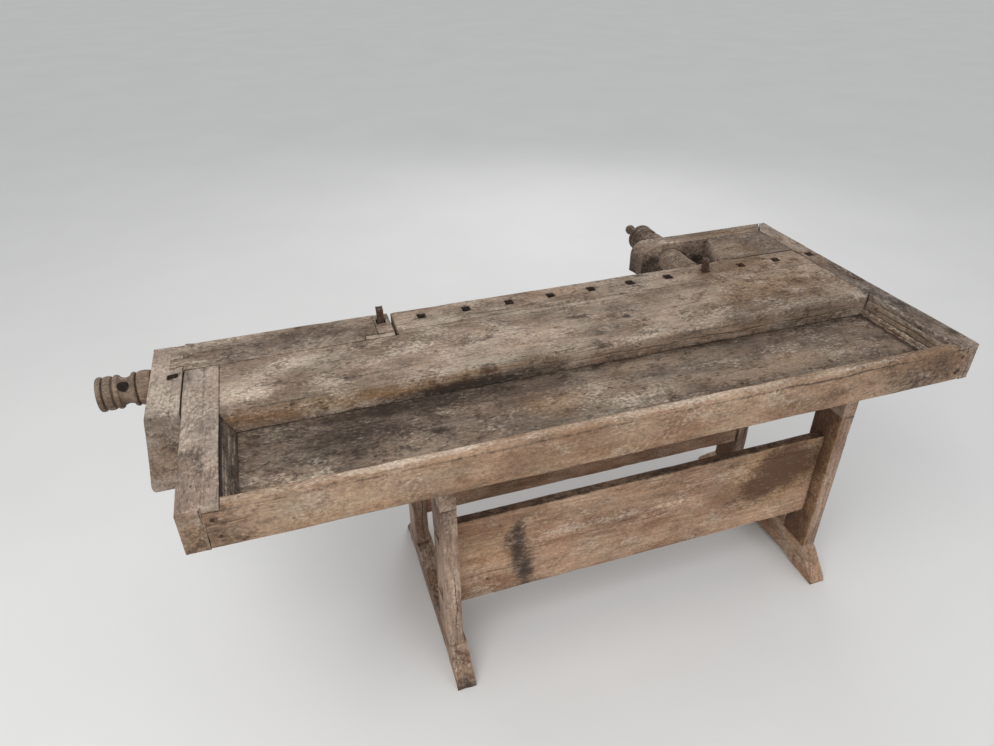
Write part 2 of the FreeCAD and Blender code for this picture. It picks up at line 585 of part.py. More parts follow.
def tail_head_block():
    rear = ARM_FRONT - TAIL_HEAD_LENGTH
    outer = head_outer_edge()
    bottom_right = Vector(TAIL_HEAD_RIGHT, 0, from_top(TAIL_HEAD_HEIGHT))
    top_right = Vector(TAIL_HEAD_RIGHT, 0, BENCH_HEIGHT)
    corner = outer[-1].Vertexes[-1].Point
    edges = outer + [Part.makeLine(corner, bottom_right), Part.makeLine(bottom_right, top_right),
                     Part.makeLine(top_right, outer[0].Vertexes[0].Point)]
    face = Part.Face(Part.Wire(Part.__sortEdges__(edges)))
    body = face.extrude(BACK * TAIL_HEAD_LENGTH)
    body.translate(BACK * rear)
    for tail in tail_dovetails():
        body = body.cut(tail)
    bore = Part.makeCylinder(TAIL_THREAD_RADIUS + SHANK_CLEARANCE, 2 * TAIL_HEAD_WIDTH,
                             Vector(TAIL_HEAD_RIGHT + 1.0, TAIL_AXIS_Y, TAIL_AXIS_Z), RIGHT * -1)
    seat = Part.makeCylinder(TAIL_HEAD_RADIUS + 2.0, 2 * TAIL_HEAD_WIDTH,
                             Vector(tail_seat(), TAIL_AXIS_Y, TAIL_AXIS_Z), RIGHT * -1)
    return body.cut(bore).cut(seat).cut(tail_garter_key()).cut(runner_tenon()).cut(wedge_slot())


def jaw_lap():
    """Tail of the jaw block, let into the end of the arm's top board."""
    return box(JAW_LEFT - TAIL_LAP_LENGTH, JAW_LEFT, ARM_REAR, ARM_REAR + TAIL_LAP_WIDTH,
               from_top(TAIL_BOARD_THICKNESS), BENCH_HEIGHT)


def tail_arm_top():
    body = box(TAIL_HEAD_RIGHT, JAW_LEFT, ARM_REAR, ARM_FRONT,
               from_top(TAIL_BOARD_THICKNESS), BENCH_HEIGHT)
    for tail in tail_dovetails():
        body = body.fuse(tail)
    return body.removeSplitter().cut(jaw_lap())


def tail_arm_front():
    return box(TAIL_HEAD_RIGHT, JAW_LEFT, ARM_FRONT - TAIL_FRONT_THICKNESS, ARM_FRONT,
               from_top(TAIL_JAW_HEIGHT), from_top(TAIL_BOARD_THICKNESS))


def guide_groove():
    """Groove in the jaw and tie blocks that slides on the strip on the slab's edge."""
    low = from_top(GUIDE_STRIP_DROP + GUIDE_STRIP_HEIGHT) - RUNNER_GAP
    return box(TIE_LEFT - 1.0, JAW_RIGHT + 1.0, ARM_REAR - 1.0,
               SLOT_REAR + GUIDE_STRIP_DEPTH + RUNNER_GAP, low,
               from_top(GUIDE_STRIP_DROP) + RUNNER_GAP)


def tail_dog_x():
    return (JAW_LEFT + JAW_RIGHT) / 2 - TAIL_DOG_FROM_JAW_MIDDLE


def tail_dog_y():
    return DOG_ROW_Y + TAIL_DOG_FROM_ROW


def tail_jaw_block():
    body = box(JAW_LEFT, JAW_RIGHT, ARM_REAR, ARM_FRONT, from_top(TAIL_JAW_HEIGHT), BENCH_HEIGHT)
    body = body.fuse(jaw_lap()).removeSplitter().cut(guide_groove())
    return body.cut(dog_hole(tail_dog_x(), tail_dog_y(), from_top(TAIL_JAW_HEIGHT) - 1.0))


def tail_tie_block():
    """Carries the jaw end of the arm down to the runner under the slab."""
    upper = box(TIE_LEFT, JAW_LEFT, ARM_REAR, TIE_FRONT, RUNNER_BOTTOM,
                from_top(TAIL_BOARD_THICKNESS))
    foot = box(TIE_LEFT, JAW_LEFT, RUNNER_Y, ARM_REAR, RUNNER_BOTTOM, RUNNER_TOP)
    return upper.fuse(foot).removeSplitter().cut(guide_groove())


def tail_runner():
    body = box(TAIL_HEAD_RIGHT, TIE_LEFT, RUNNER_Y, RUNNER_Y + RUNNER_SIZE,
               RUNNER_BOTTOM, RUNNER_TOP)
    return body.fuse(runner_tenon()).removeSplitter().cut(wedge_slot())


def runner_wedge():
    left = TAIL_HEAD_RIGHT - WEDGE_SLOT_OFFSET - WEDGE_SLOT_LENGTH
    middle = RUNNER_Y + RUNNER_SIZE / 2
    low, high = RUNNER_BOTTOM - 4.0, from_top(WEDGE_SINK)
    outline = [(left + WEDGE_TAPER, low), (left + WEDGE_SLOT_LENGTH, low),
               (left + WEDGE_SLOT_LENGTH, high), (left, high)]
    return prism_xz(outline, middle - WEDGE_SLOT_WIDTH / 2, middle + WEDGE_SLOT_WIDTH / 2)


def tail_guide_strip():
    return box(GUIDE_STRIP_START, TAIL_SLOT_LENGTH, SLOT_REAR, SLOT_REAR + GUIDE_STRIP_DEPTH,
               from_top(GUIDE_STRIP_DROP + GUIDE_STRIP_HEIGHT), from_top(GUIDE_STRIP_DROP))


def tail_runner_hanger():
    rear = RUNNER_Y - RUNNER_GAP - HANGER_CHEEK
    front = RUNNER_Y + RUNNER_SIZE + RUNNER_GAP + HANGER_CHEEK
    plate_top = RUNNER_BOTTOM - RUNNER_GAP
    body = box(HANGER_START, HANGER_START + HANGER_LENGTH, rear, front,
               plate_top - HANGER_PLATE, TOP_UNDERSIDE)
    channel = box(HANGER_START - 1.0, HANGER_START + HANGER_LENGTH + 1.0,
                  RUNNER_Y - RUNNER_GAP, RUNNER_Y + RUNNER_SIZE + RUNNER_GAP,
                  plate_top, TOP_UNDERSIDE + 1.0)
    return body.cut(channel)


# ---------------------------------------------------------------- shoulder vise
def beam_outline(end, round_radius, y, right):
    """Outline of the beam at one of its faces; its free end's top corner is rounded."""
    centre = Vector(end + round_radius, y, BENCH_HEIGHT - round_radius)
    start = centre - RIGHT * round_radius
    top = centre + UP * round_radius
    middle = centre + (UP - RIGHT).normalize() * round_radius
    corners = [top, Vector(right, y, BENCH_HEIGHT), Vector(right, y, TOP_UNDERSIDE),
               Vector(end, y, TOP_UNDERSIDE), start]
    lines = [Part.makeLine(corners[i], corners[i + 1]) for i in range(len(corners) - 1)]
    return Part.Wire([Part.Arc(start, middle, top).toShape()] + lines)


def beam_blank():
    """The beam before its nut is cut; it widens outwards into its dovetail in the right cap."""
    inner = beam_outline(BEAM_END + BEAM_END_SKEW, BEAM_INNER_ROUND, BEAM_INNER, SLAB_RIGHT)
    outer = beam_outline(BEAM_END, BEAM_OUTER_ROUND, BEAM_OUTER, SLAB_RIGHT + BEAM_DOVETAIL)
    return Part.makeLoft([inner, outer], True, True)


def front_screw_tip():
    return Vector(FRONT_AXIS_X, CHOP_INNER + CHOP_SPIGOT_WALL, FRONT_AXIS_Z)


def front_beam():
    low = BEAM_INNER - front_screw_tip().y
    thread_start = CHOP_OUTER + SEAT_CLEARANCE - front_screw_tip().y
    nut = female_thread(FRONT_THREAD_RADIUS, thread_start, low, low + BEAM_THICKNESS)
    return beam_blank().cut(along_axis(nut, front_screw_tip(), BACK))


def shoulder_block():
    outline = [(SLAB_RIGHT - SHOULDER_BACK_WIDTH, TOP_DEPTH), (SLAB_RIGHT, TOP_DEPTH),
               (SLAB_RIGHT, BEAM_INNER), (SLAB_RIGHT - SHOULDER_FRONT_WIDTH, BEAM_INNER)]
    return prism_xy(outline, TOP_UNDERSIDE, BENCH_HEIGHT)


def chop_key_place():
    """Lowest y of the groove that the chop's garter key turns in."""
    return CHOP_OUTER - CHOP_KEY_THICKNESS - 9.0


def front_screw():
    core = FRONT_THREAD_RADIUS - THREAD_DEPTH
    neck = CHOP_SPIGOT_RADIUS - GARTER_GROOVE_DEPTH
    tip = front_screw_tip().y
    key_start = chop_key_place() - tip
    key_end = key_start + CHOP_KEY_THICKNESS
    thread_start = CHOP_OUTER + SEAT_CLEARANCE - tip
    seat = BEAM_OUTER + FRONT_SCREW_STANDOFF - tip
    outline = [(CHOP_SPIGOT_RADIUS, 0), (CHOP_SPIGOT_RADIUS, key_start), (neck, key_start),
               (neck, key_end), (CHOP_SPIGOT_RADIUS, key_end), (CHOP_SPIGOT_RADIUS, thread_start),
               (core, thread_start), (core, seat)]
    outline += head_outline(seat, FRONT_HEAD_RADIUS)
    outline += knob_outline(seat + HEAD_LENGTH, FRONT_HEAD_RADIUS)
    screw = turned_screw(outline, seat + BAR_HOLE_FROM_SEAT, 180.0 - FRONT_BAR_ANGLE)
    screw = screw.fuse(male_ridge(FRONT_THREAD_RADIUS, thread_start, seat))
    return along_axis(screw, front_screw_tip(), BACK)


def front_garter_key():
    edge = FRONT_AXIS_X + CHOP_SPIGOT_RADIUS - GARTER_GROOVE_DEPTH + SHANK_CLEARANCE
    low = chop_key_place() + SHANK_CLEARANCE
    high = low + CHOP_KEY_THICKNESS - 2 * SHANK_CLEARANCE
    return box(edge, edge + CHOP_KEY_WIDTH, low, high,
               FRONT_AXIS_Z - CHOP_SPIGOT_RADIUS - 16.0, from_top(CHOP_TOP_DROP + 4.0))


def guide_bar_z():
    """Top of the chop's guide bar."""
    return TOP_UNDERSIDE - GUIDE_DROP


def chop_guide_x():
    """Lowest x of the chop's guide bar."""
    return CHOP_RIGHT - CHOP_GUIDE_INSET - CHOP_GUIDE_WIDTH


def chop_guide_bar():
    return box(chop_guide_x(), chop_guide_x() + CHOP_GUIDE_WIDTH, CHOP_GUIDE_REAR, CHOP_OUTER,
               guide_bar_z() - CHOP_GUIDE_WIDTH, guide_bar_z())


def front_chop():
    top, bottom = from_top(CHOP_TOP_DROP), from_top(CHOP_BOTTOM_DROP)
    body = box(CHOP_LEFT, CHOP_RIGHT, CHOP_INNER, CHOP_OUTER, bottom, top)
    corners = [edge for edge in body.Edges
               if abs(edge.CenterOfMass.z - top) < 0.01 and abs(edge.CenterOfMass.x - FRONT_AXIS_X) > 1]
    body = body.makeFillet(CHOP_ROUND, corners)
    socket = Part.makeCylinder(CHOP_SPIGOT_RADIUS + SHANK_CLEARANCE, CHOP_THICKNESS,
                               front_screw_tip() - BACK * 1.0, BACK)
    mortise = front_garter_key()
    return body.cut(socket).cut(mortise).cut(mortise_above(mortise)).cut(chop_guide_bar())


def mortise_above(key):
    """The open top of the key's mortise, from the key up to the chop's edge."""
    limits = key.BoundBox
    return box(limits.XMin, limits.XMax, limits.YMin, limits.YMax, limits.ZMax,
               from_top(CHOP_TOP_DROP) + 1.0)


def chop_guide_hanger():
    left = chop_guide_x() - RUNNER_GAP
    right = chop_guide_x() + CHOP_GUIDE_WIDTH + RUNNER_GAP
    rear, front = CHOP_HANGER_REAR, CHOP_HANGER_REAR + CHOP_HANGER_LENGTH
    plate_top = guide_bar_z() - CHOP_GUIDE_WIDTH - RUNNER_GAP
    body = box(left - HANGER_CHEEK, right + HANGER_CHEEK, rear, front,
               plate_top - HANGER_PLATE, TOP_UNDERSIDE)
    return body.cut(box(left, right, rear - 1.0, front + 1.0, plate_top, guide_bar_z() + RUNNER_GAP))


# ---------------------------------------------------------------- bench dogs
def dog(x, y):
    """A square wooden dog with a shallow bed for its leaf spring."""
    top = BENCH_HEIGHT + DOG_RAISED
    body = box(x - DOG_WIDTH / 2, x + DOG_WIDTH / 2, y - DOG_DEPTH / 2, y + DOG_DEPTH / 2,
               top - DOG_LENGTH, top)
    bed_top = BENCH_HEIGHT - SPRING_TOP_DROP
    bed = box(x - DOG_WIDTH / 2 - 1.0, x - DOG_WIDTH / 2 + SPRING_THICKNESS + 1.0,
              y - SPRING_WIDTH / 2, y + SPRING_WIDTH / 2, bed_top - SPRING_LENGTH - 2.0, bed_top)
    return body.cut(bed)


def dog_spring(x, y):
    """Thin leaf fixed in the dog's bed at its top, and standing a little proud at its foot."""
    bed = x - DOG_WIDTH / 2 + SPRING_THICKNESS + 1.0
    top = BENCH_HEIGHT - SPRING_TOP_DROP
    proud = x - DOG_WIDTH / 2 - SPRING_RISE
    outline = [(bed, top), (bed, top - 16.0), (proud + SPRING_THICKNESS, top - SPRING_LENGTH),
               (proud, top - SPRING_LENGTH), (bed - SPRING_THICKNESS, top)]
    return prism_xz(outline, y - SPRING_WIDTH / 2, y + SPRING_WIDTH / 2)


# ---------------------------------------------------------------- the base
def foot(x):
    """A sled foot with sloping ends and a shallow arch between its two pads."""
    rear, front = REAR_POST_Y, REAR_POST_Y + TRESTLE_DEPTH
    outline = [(rear - FOOT_TIP, 0), (rear - FOOT_TIP + FOOT_PAD_LENGTH, 0),
               (rear - FOOT_TIP + FOOT_PAD_LENGTH + 20.0, FOOT_ARCH_HEIGHT),
               (front + FOOT_TIP - FOOT_PAD_LENGTH - 20.0, FOOT_ARCH_HEIGHT),
               (front + FOOT_TIP - FOOT_PAD_LENGTH, 0), (front + FOOT_TIP, 0),
               (front + FOOT_TIP - 6.0, 16.0), (front + 10.0, FOOT_HEIGHT - 4.0),
               (front, FOOT_HEIGHT), (rear, FOOT_HEIGHT), (rear - 10.0, FOOT_HEIGHT - 4.0),
               (rear - FOOT_TIP + 6.0, 16.0)]
    return prism_yz(outline, x, x + FOOT_WIDTH)


def foot_x(trestle_x):
    """The feet are flush with the posts' outer sides and stand proud of their inner sides."""
    return trestle_x if trestle_x == LEFT_TRESTLE_X else trestle_x + POST_THICKNESS - FOOT_WIDTH


def post_tenon(x, y, low):
    middle_x, middle_y = x + POST_THICKNESS / 2, y + POST_WIDTH / 2
    return box(middle_x - POST_TENON_THICKNESS / 2, middle_x + POST_TENON_THICKNESS / 2,
               middle_y - POST_TENON_WIDTH / 2, middle_y + POST_TENON_WIDTH / 2,
               low, low + POST_TENON_LENGTH)


def post_blank(x, y):
    body = box(x, x + POST_THICKNESS, y, y + POST_WIDTH, FOOT_HEIGHT, POST_TOP)
    body = body.fuse(post_tenon(x, y, FOOT_HEIGHT - POST_TENON_LENGTH))
    return body.fuse(post_tenon(x, y, POST_TOP)).removeSplitter()


def stretcher_tenon_heights():
    top = STRETCHER_BOTTOM + STRETCHER_HEIGHT - STRETCHER_TENON_TOP_INSET
    low = STRETCHER_BOTTOM + STRETCHER_TENON_BOTTOM_INSET
    return [(top - STRETCHER_TENON_HEIGHT, top), (low, low + STRETCHER_TENON_HEIGHT)]


def stretcher_blank(y):
    """A wide stretcher with twin tenons that pass right through the posts."""
    body = box(LEFT_TRESTLE_X + POST_THICKNESS, RIGHT_TRESTLE_X, y, y + STRETCHER_THICKNESS,
               STRETCHER_BOTTOM, STRETCHER_BOTTOM + STRETCHER_HEIGHT)
    for low, high in stretcher_tenon_heights():
        body = body.fuse(box(LEFT_TRESTLE_X - TENON_PROUD,
                             RIGHT_TRESTLE_X + POST_THICKNESS + TENON_PROUD,
                             y, y + STRETCHER_THICKNESS, low, high))
    return body.removeSplitter()


def wedges(y):
    """The small wedges driven into the ends of one stretcher's tenons."""
    pieces = []
    left, right = LEFT_TRESTLE_X - TENON_PROUD, RIGHT_TRESTLE_X + POST_THICKNESS + TENON_PROUD
    for low, high in stretcher_tenon_heights():
        middle = (low + high) / 2
        for outer, inward in ((left, 1), (right, -1)):
            inner = outer + inward * WEDGE_LENGTH
            outline = [(outer, middle - WEDGE_THICK_END / 2), (outer, middle + WEDGE_THICK_END / 2),
                       (inner, middle + WEDGE_THIN_END / 2), (inner, middle - WEDGE_THIN_END / 2)]
            pieces.append(prism_xz(outline, y, y + STRETCHER_THICKNESS))
    return pieces


REAR_STRETCHER_Y = REAR_POST_Y + REAR_STRETCHER_INSET
FRONT_STRETCHER_Y = FRONT_POST_Y + FRONT_STRETCHER_INSET


def stretcher_wedges():
    return Part.makeCompound(wedges(REAR_STRETCHER_Y) + wedges(FRONT_STRETCHER_Y))


def stretcher(y):
    return stretcher_blank(y).cut(Part.makeCompound(wedges(y)))


def post(x, y, stretcher_y):
    return post_blank(x, y).cut(stretcher_blank(stretcher_y))


def bearer(x):
    body = box(x, x + POST_THICKNESS, REAR_POST_Y, REAR_POST_Y + TRESTLE_DEPTH,
               BEARER_BOTTOM, TOP_UNDERSIDE)
    return body.cut(top_pegs()).cut(post_tenon(x, REAR_POST_Y, POST_TOP)).cut(
        post_tenon(x, FRONT_POST_Y, POST_TOP))


def mortised_foot(x):
    low = FOOT_HEIGHT - POST_TENON_LENGTH
    return foot(foot_x(x)).cut(post_tenon(x, REAR_POST_Y, low)).cut(
        post_tenon(x, FRONT_POST_Y, low))


# ---------------------------------------------------------------- every piece by name
def all_pieces():
    bench_dog_x = dog_x(RAISED_DOG_INDEX)
    pieces = {
        "slab": slab(),
        "dog_strip": dog_strip(),
        "left_end_cap": left_end_cap(),
        "right_end_cap": right_end_cap(),
        "tray_rail": tray_rail(),
        "tray_board": tray_board(),
        "left_tray_ramp": left_tray_ramp(),
        "right_tray_ramp_lower": right_tray_ramp_lower(),
        "right_tray_ramp_upper": right_tray_ramp_upper(),
        "rail_nails": rail_nails(),
        "top_pegs": top_pegs(),
        "shoulder_block": shoulder_block(),
        "front_beam": front_beam(),
        "chop_guide_hanger": chop_guide_hanger(),
        "tail_guide_strip": tail_guide_strip(),
        "tail_runner_hanger": tail_runner_hanger(),
        "tail_head_block": tail_head_block(),
        "tail_arm_top": tail_arm_top(),
        "tail_arm_front": tail_arm_front(),
        "tail_jaw_block": tail_jaw_block(),
        "tail_tie_block": tail_tie_block(),
        "tail_runner": tail_runner(),
        "runner_wedge": runner_wedge(),
        "tail_garter_key": tail_garter_key(),
        "tail_screw": tail_screw(),
        "front_chop": front_chop(),
        "chop_guide_bar": chop_guide_bar(),
        "front_garter_key": front_garter_key(),
        "front_screw": front_screw(),
        "tail_dog": dog(tail_dog_x(), tail_dog_y()),
        "tail_dog_spring": dog_spring(tail_dog_x(), tail_dog_y()),
        "bench_dog": dog(bench_dog_x, DOG_ROW_Y),
        "bench_dog_spring": dog_spring(bench_dog_x, DOG_ROW_Y),
        "rear_stretcher": stretcher(REAR_STRETCHER_Y),
        "front_stretcher": stretcher(FRONT_STRETCHER_Y),
        "stretcher_wedges": stretcher_wedges(),
    }
    for side, x in (("left", LEFT_TRESTLE_X), ("right", RIGHT_TRESTLE_X)):
        pieces[side + "_foot"] = mortised_foot(x)
        pieces[side + "_bearer"] = bearer(x)
        pieces[side + "_rear_post"] = post(x, REAR_POST_Y, REAR_STRETCHER_Y)
        pieces[side + "_front_post"] = post(x, FRONT_POST_Y, FRONT_STRETCHER_Y)
    return pieces


def middle_of_bench():
    """The point on the floor under the middle of the whole bench, screws included."""
    x_low = tail_seat() - SEAT_CLEARANCE - HEAD_LENGTH
    y_high = (BEAM_OUTER + FRONT_SCREW_STANDOFF + HEAD_LENGTH
              + KNOB_CONE_LENGTH + KNOB_NECK_LENGTH + KNOB_LENGTH)
    return Vector((x_low + TOP_LENGTH) / 2, y_high / 2, 0)


def main():
    os.makedirs("parts", exist_ok=True)
    origin = middle_of_bench()
    print("origin in bench coordinates", round(origin.x, 3), round(origin.y, 3))
    for name, shape in all_pieces().items():
        placed = shape.copy()
        placed.translate(origin * -1)
        placed.exportStep(os.path.join("parts", name + ".step"))
        print(name, "solids", len(placed.Solids), "valid", placed.isValid(),
              "volume", round(placed.Volume))


main()
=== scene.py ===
import json
import math

import bpy
import numpy as np
from bpy.props import FloatProperty, FloatVectorProperty, PointerProperty
from mathutils import Matrix, Vector


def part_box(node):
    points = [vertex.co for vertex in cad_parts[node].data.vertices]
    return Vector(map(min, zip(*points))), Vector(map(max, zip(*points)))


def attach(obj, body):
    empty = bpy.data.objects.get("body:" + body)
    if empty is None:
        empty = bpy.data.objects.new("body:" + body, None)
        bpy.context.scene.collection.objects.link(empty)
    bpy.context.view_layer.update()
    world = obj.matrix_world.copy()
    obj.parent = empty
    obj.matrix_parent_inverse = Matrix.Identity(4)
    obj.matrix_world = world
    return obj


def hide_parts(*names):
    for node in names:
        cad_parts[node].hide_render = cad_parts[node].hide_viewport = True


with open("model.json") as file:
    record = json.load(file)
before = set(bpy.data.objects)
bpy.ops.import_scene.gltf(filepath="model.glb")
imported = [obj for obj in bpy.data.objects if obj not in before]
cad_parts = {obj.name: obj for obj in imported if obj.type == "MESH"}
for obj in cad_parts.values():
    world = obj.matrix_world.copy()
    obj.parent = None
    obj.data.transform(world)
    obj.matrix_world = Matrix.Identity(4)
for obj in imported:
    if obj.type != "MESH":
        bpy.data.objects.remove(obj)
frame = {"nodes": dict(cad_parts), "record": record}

bl_info = {
    "name": "Old joiner's bench",
    "version": (1, 0, 0),
    "blender": (4, 5, 0),
    "location": "3D View > Sidebar > Bench",
    "description": "Builds the worn wood of a joiner's bench with two wooden-screw vises",
    "category": "Object",
}

# Everything is laid out in bench millimetres: X runs along the bench from the left cap's outer face,
# Y from the tray rail's outer face towards the worker, and Z is up from the floor.
MM = 1000.0
ORIGIN = np.array([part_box("left_end_cap")[0].x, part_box("tray_rail")[0].y, 0.0]) * MM
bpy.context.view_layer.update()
BODY_OF = {node: body for body, nodes in frame["record"]["behaviour"]["bodies"].items()
           for node in nodes}
SLOT_OF = {part["node"]: part["material_slot"] for part in frame["record"]["subparts"]}
X, Y, Z = 0, 1, 2


def limits(node):
    """Lowest and highest corner of a frame node, in bench millimetres."""
    low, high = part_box(node)
    return (np.round(np.array(low) * MM - ORIGIN, 2), np.round(np.array(high) * MM - ORIGIN, 2))


def block(node):
    """A node's box as (x low, x high, y low, y high, z low, z high)."""
    low, high = limits(node)
    return tuple(np.stack([low, high], axis=1).ravel())


def cut_to(box, x=None, y=None, z=None):
    """The same box with one or more of its three spans changed; None in a span keeps that end."""
    spans = [list(box[0:2]), list(box[2:4]), list(box[4:6])]
    for span, change in zip(spans, (x, y, z)):
        for end in (0, 1):
            if change is not None and change[end] is not None:
                span[end] = change[end]
    return tuple(spans[0] + spans[1] + spans[2])


# ---------------------------------------------------------------- places read from the frame
TOP = limits("slab")[1][Z]
UNDER = limits("slab")[0][Z]
CAP_END = limits("left_end_cap")[1][X]
SLAB_END = limits("right_end_cap")[0][X]
RAIL_FRONT = limits("tray_rail")[1][Y]
SLAB_REAR = limits("slab")[0][Y]
STRIP_REAR = limits("dog_strip")[0][Y]
FRONT = limits("dog_strip")[1][Y]
SLOT_END = limits("dog_strip")[0][X]
SLOT_REAR = limits("tail_guide_strip")[0][Y]
TRAY_FLOOR = limits("tray_board")[1][Z]
TRAY_UNDER = limits("tray_board")[0][Z]
TRAY_HOUSING = limits("tray_board")[1][Y] - SLAB_REAR
TONGUE = limits("slab")[1][X] - SLAB_END
RAIL_LAP = CAP_END - limits("tray_rail")[0][X]
RUNNER_REACH = 466.0
HEAD_RIGHT = limits("tail_runner")[1][X] - RUNNER_REACH
JAW_LEFT = limits("tail_arm_front")[1][X]
ARM_REAR = limits("tail_arm_top")[0][Y]
ARM_FRONT = limits("tail_arm_top")[1][Y]
ARM_UNDER = limits("tail_arm_top")[0][Z]
BEAM_INNER, BEAM_OUTER = limits("front_beam")[0][Y], limits("front_beam")[1][Y]
TONGUE_LOW, TONGUE_HIGH = TOP - 66.0, TOP - 38.0
RAIL_COVER = 12.0
DOG_HOLE_X, DOG_HOLE_Y = 23.4, 25.4
DOG_PITCH = 132.5
DOG_COUNT = 10
FIRST_DOG = SLOT_END + 82.0
DOG_ROW = FRONT - 52.0
TAIL_AXIS = (SLOT_REAR + 61.0, TOP - 66.0)
FRONT_AXIS = (limits("front_beam")[0][X] + 121.0, TOP - 59.0)
# A round bore starts as a square one of this half width, which round_hole then opens.
TAIL_BORE, FRONT_BORE = 24.0, 33.0
# The dovetail at the beam's inner end spreads by this much between the beam's faces.
BEAM_DOVETAIL = 44.0
# Both hangers have this much wood below the bar that they carry.
HANGER_FLOOR = 22.0


def srgb(red, green, blue):
    """Linear colour of an 8-bit screen colour."""
    parts = [level / 255.0 for level in (red, green, blue)]
    return tuple(p / 12.92 if p <= 0.04045 else ((p + 0.055) / 1.055) ** 2.4 for p in parts)


def colour(name, description, screen):
    return FloatVectorProperty(name=name, description=description, default=srgb(*screen),
                               size=3, min=0.0, max=1.0, subtype="COLOR")


def number(name, description, default, high, low=0.0, **kind):
    return FloatProperty(name=name, description=description, default=default, min=low, max=high, **kind)


# ---------------------------------------------------------------- what a user would change
# name of each wood, what it is on, and its light and dark tone
TONES = {
    "slab": ("Slab", "the slab and the dog strip", (170, 152, 136), (122, 104, 89)),
    "cap": ("Caps", "the end caps and the head block", (168, 153, 141), (128, 113, 102)),
    "rail": ("Rail", "the tray's rail", (170, 144, 121), (134, 106, 84)),
    "tray": ("Tray", "the tray's floor", (146, 129, 113), (102, 87, 76)),
    "beam": ("Beam", "the beam and its block", (146, 129, 114), (92, 78, 67)),
    "vise": ("Vises", "the vises' working parts", (140, 122, 106), (86, 72, 61)),
    "screw": ("Screws", "the wooden screws", (134, 115, 99), (78, 63, 53)),
    "dog": ("Dogs", "the bench dogs", (80, 58, 47), (52, 38, 31)),
    "base": ("Base", "feet and stretchers", (176, 146, 122), (132, 102, 80)),
    "post": ("Posts", "posts and bearers", (166, 141, 124), (116, 92, 77)),
    "wedge": ("Wedges", "wedges, pegs and keys", (128, 108, 90), (88, 70, 56)),
    "iron": ("Nails", "the rusty nails", (82, 60, 48), (38, 31, 28)),
}


class BENCH_PG_colours(bpy.types.PropertyGroup):
    """Light and dark tone of each wood, and the colours of what lies over them."""
    __annotations__ = {
        kind + "_" + tone: colour(name + ", " + tone, tone.title() + " tone of " + wood, screen)
        for kind, (name, wood, *screens) in TONES.items()
        for tone, screen in zip(("light", "dark"), screens)}
    # This colour also paints shade: in the tray's corners, in joints and holes, and on faces under the top.
    stain: colour("Stain", "Colour of dirt in cracks and of old stains", (52, 42, 36))
    damp_stain_and_shade: colour("Brown stain", "Colour of a stain on warm brown wood", (90, 61, 43))
    bare: colour("Bare wood", "Colour of wood that is rubbed or splintered bare", (203, 186, 168))
    warm: colour("Old finish", "Colour where the old finish is left", (168, 130, 88))


class BENCH_PG_wear(bpy.types.PropertyGroup):
    """How worn the wood is."""
    edges: number("Edge wear", "Share that worn edges give way in each round of wear", 0.62, 1.0,
                  subtype="FACTOR")
    uneven: number("Unevenness", "Depth of the shallow hollows in a face", 0.0009, 0.004, unit="LENGTH")
    dents: number("Dents", "Depth of the dents in the working surfaces", 0.0016, 0.005, unit="LENGTH")
    cracks: number("Cracks", "Depth of the open cracks", 0.007, 0.02, unit="LENGTH")


class BENCH_PG_stage(bpy.types.PropertyGroup):
    """Floor, light and camera."""
    floor: colour("Floor", "Colour of the floor", (228, 228, 227))
    backdrop: number("Backdrop", "Brightness behind the floor", 0.62, 1.0)
    sky: number("Ambient light", "Strength of the light from all round", 0.62, 2.0)
    key: number("Key light", "Power of the large lamp above, in watts", 60.0, 500.0)
    fill: number("Fill lights", "Power of each lamp at the sides, in watts", 26.0, 500.0)
    lens: number("Lens", "Focal length", 25.86, 200.0, 5.0, unit="CAMERA")
    camera: FloatVectorProperty(name="Camera", description="Place of the camera",
                                default=(-0.600245, -1.7440, 1.8146), size=3, subtype="XYZ",
                                unit="LENGTH")
    turn: FloatVectorProperty(name="Camera turn", description="Yaw to the right, pitch down, roll",
                              default=(0.3104, 0.5707, -0.0125), size=3, unit="ROTATION")


# ---------------------------------------------------------------- shapes as arrays
def spread(faces, spacing, rim, extra):
    """Coordinates along one axis: every face, close lines beside it, and even ones between."""
    faces = np.unique(np.round(faces, 3))
    fixed = np.unique(np.append(faces, np.round(extra, 3)))
    found = []
    for low, high in zip(faces[:-1], faces[1:]):
        close = np.array([step for step in rim if step < (high - low) * 0.45])
        reach = close[-1] if len(close) else 0.0
        count = max(1, math.ceil((high - low - 2 * reach) / spacing))
        found += [np.linspace(low + reach, high - reach, count + 1), low + close, high - close]
    found = np.unique(np.round(np.concatenate(found), 3))
    clear = np.abs(found[:, None] - fixed[None, :]).min(axis=1) > 0.5
    return np.unique(np.append(found[clear], fixed))


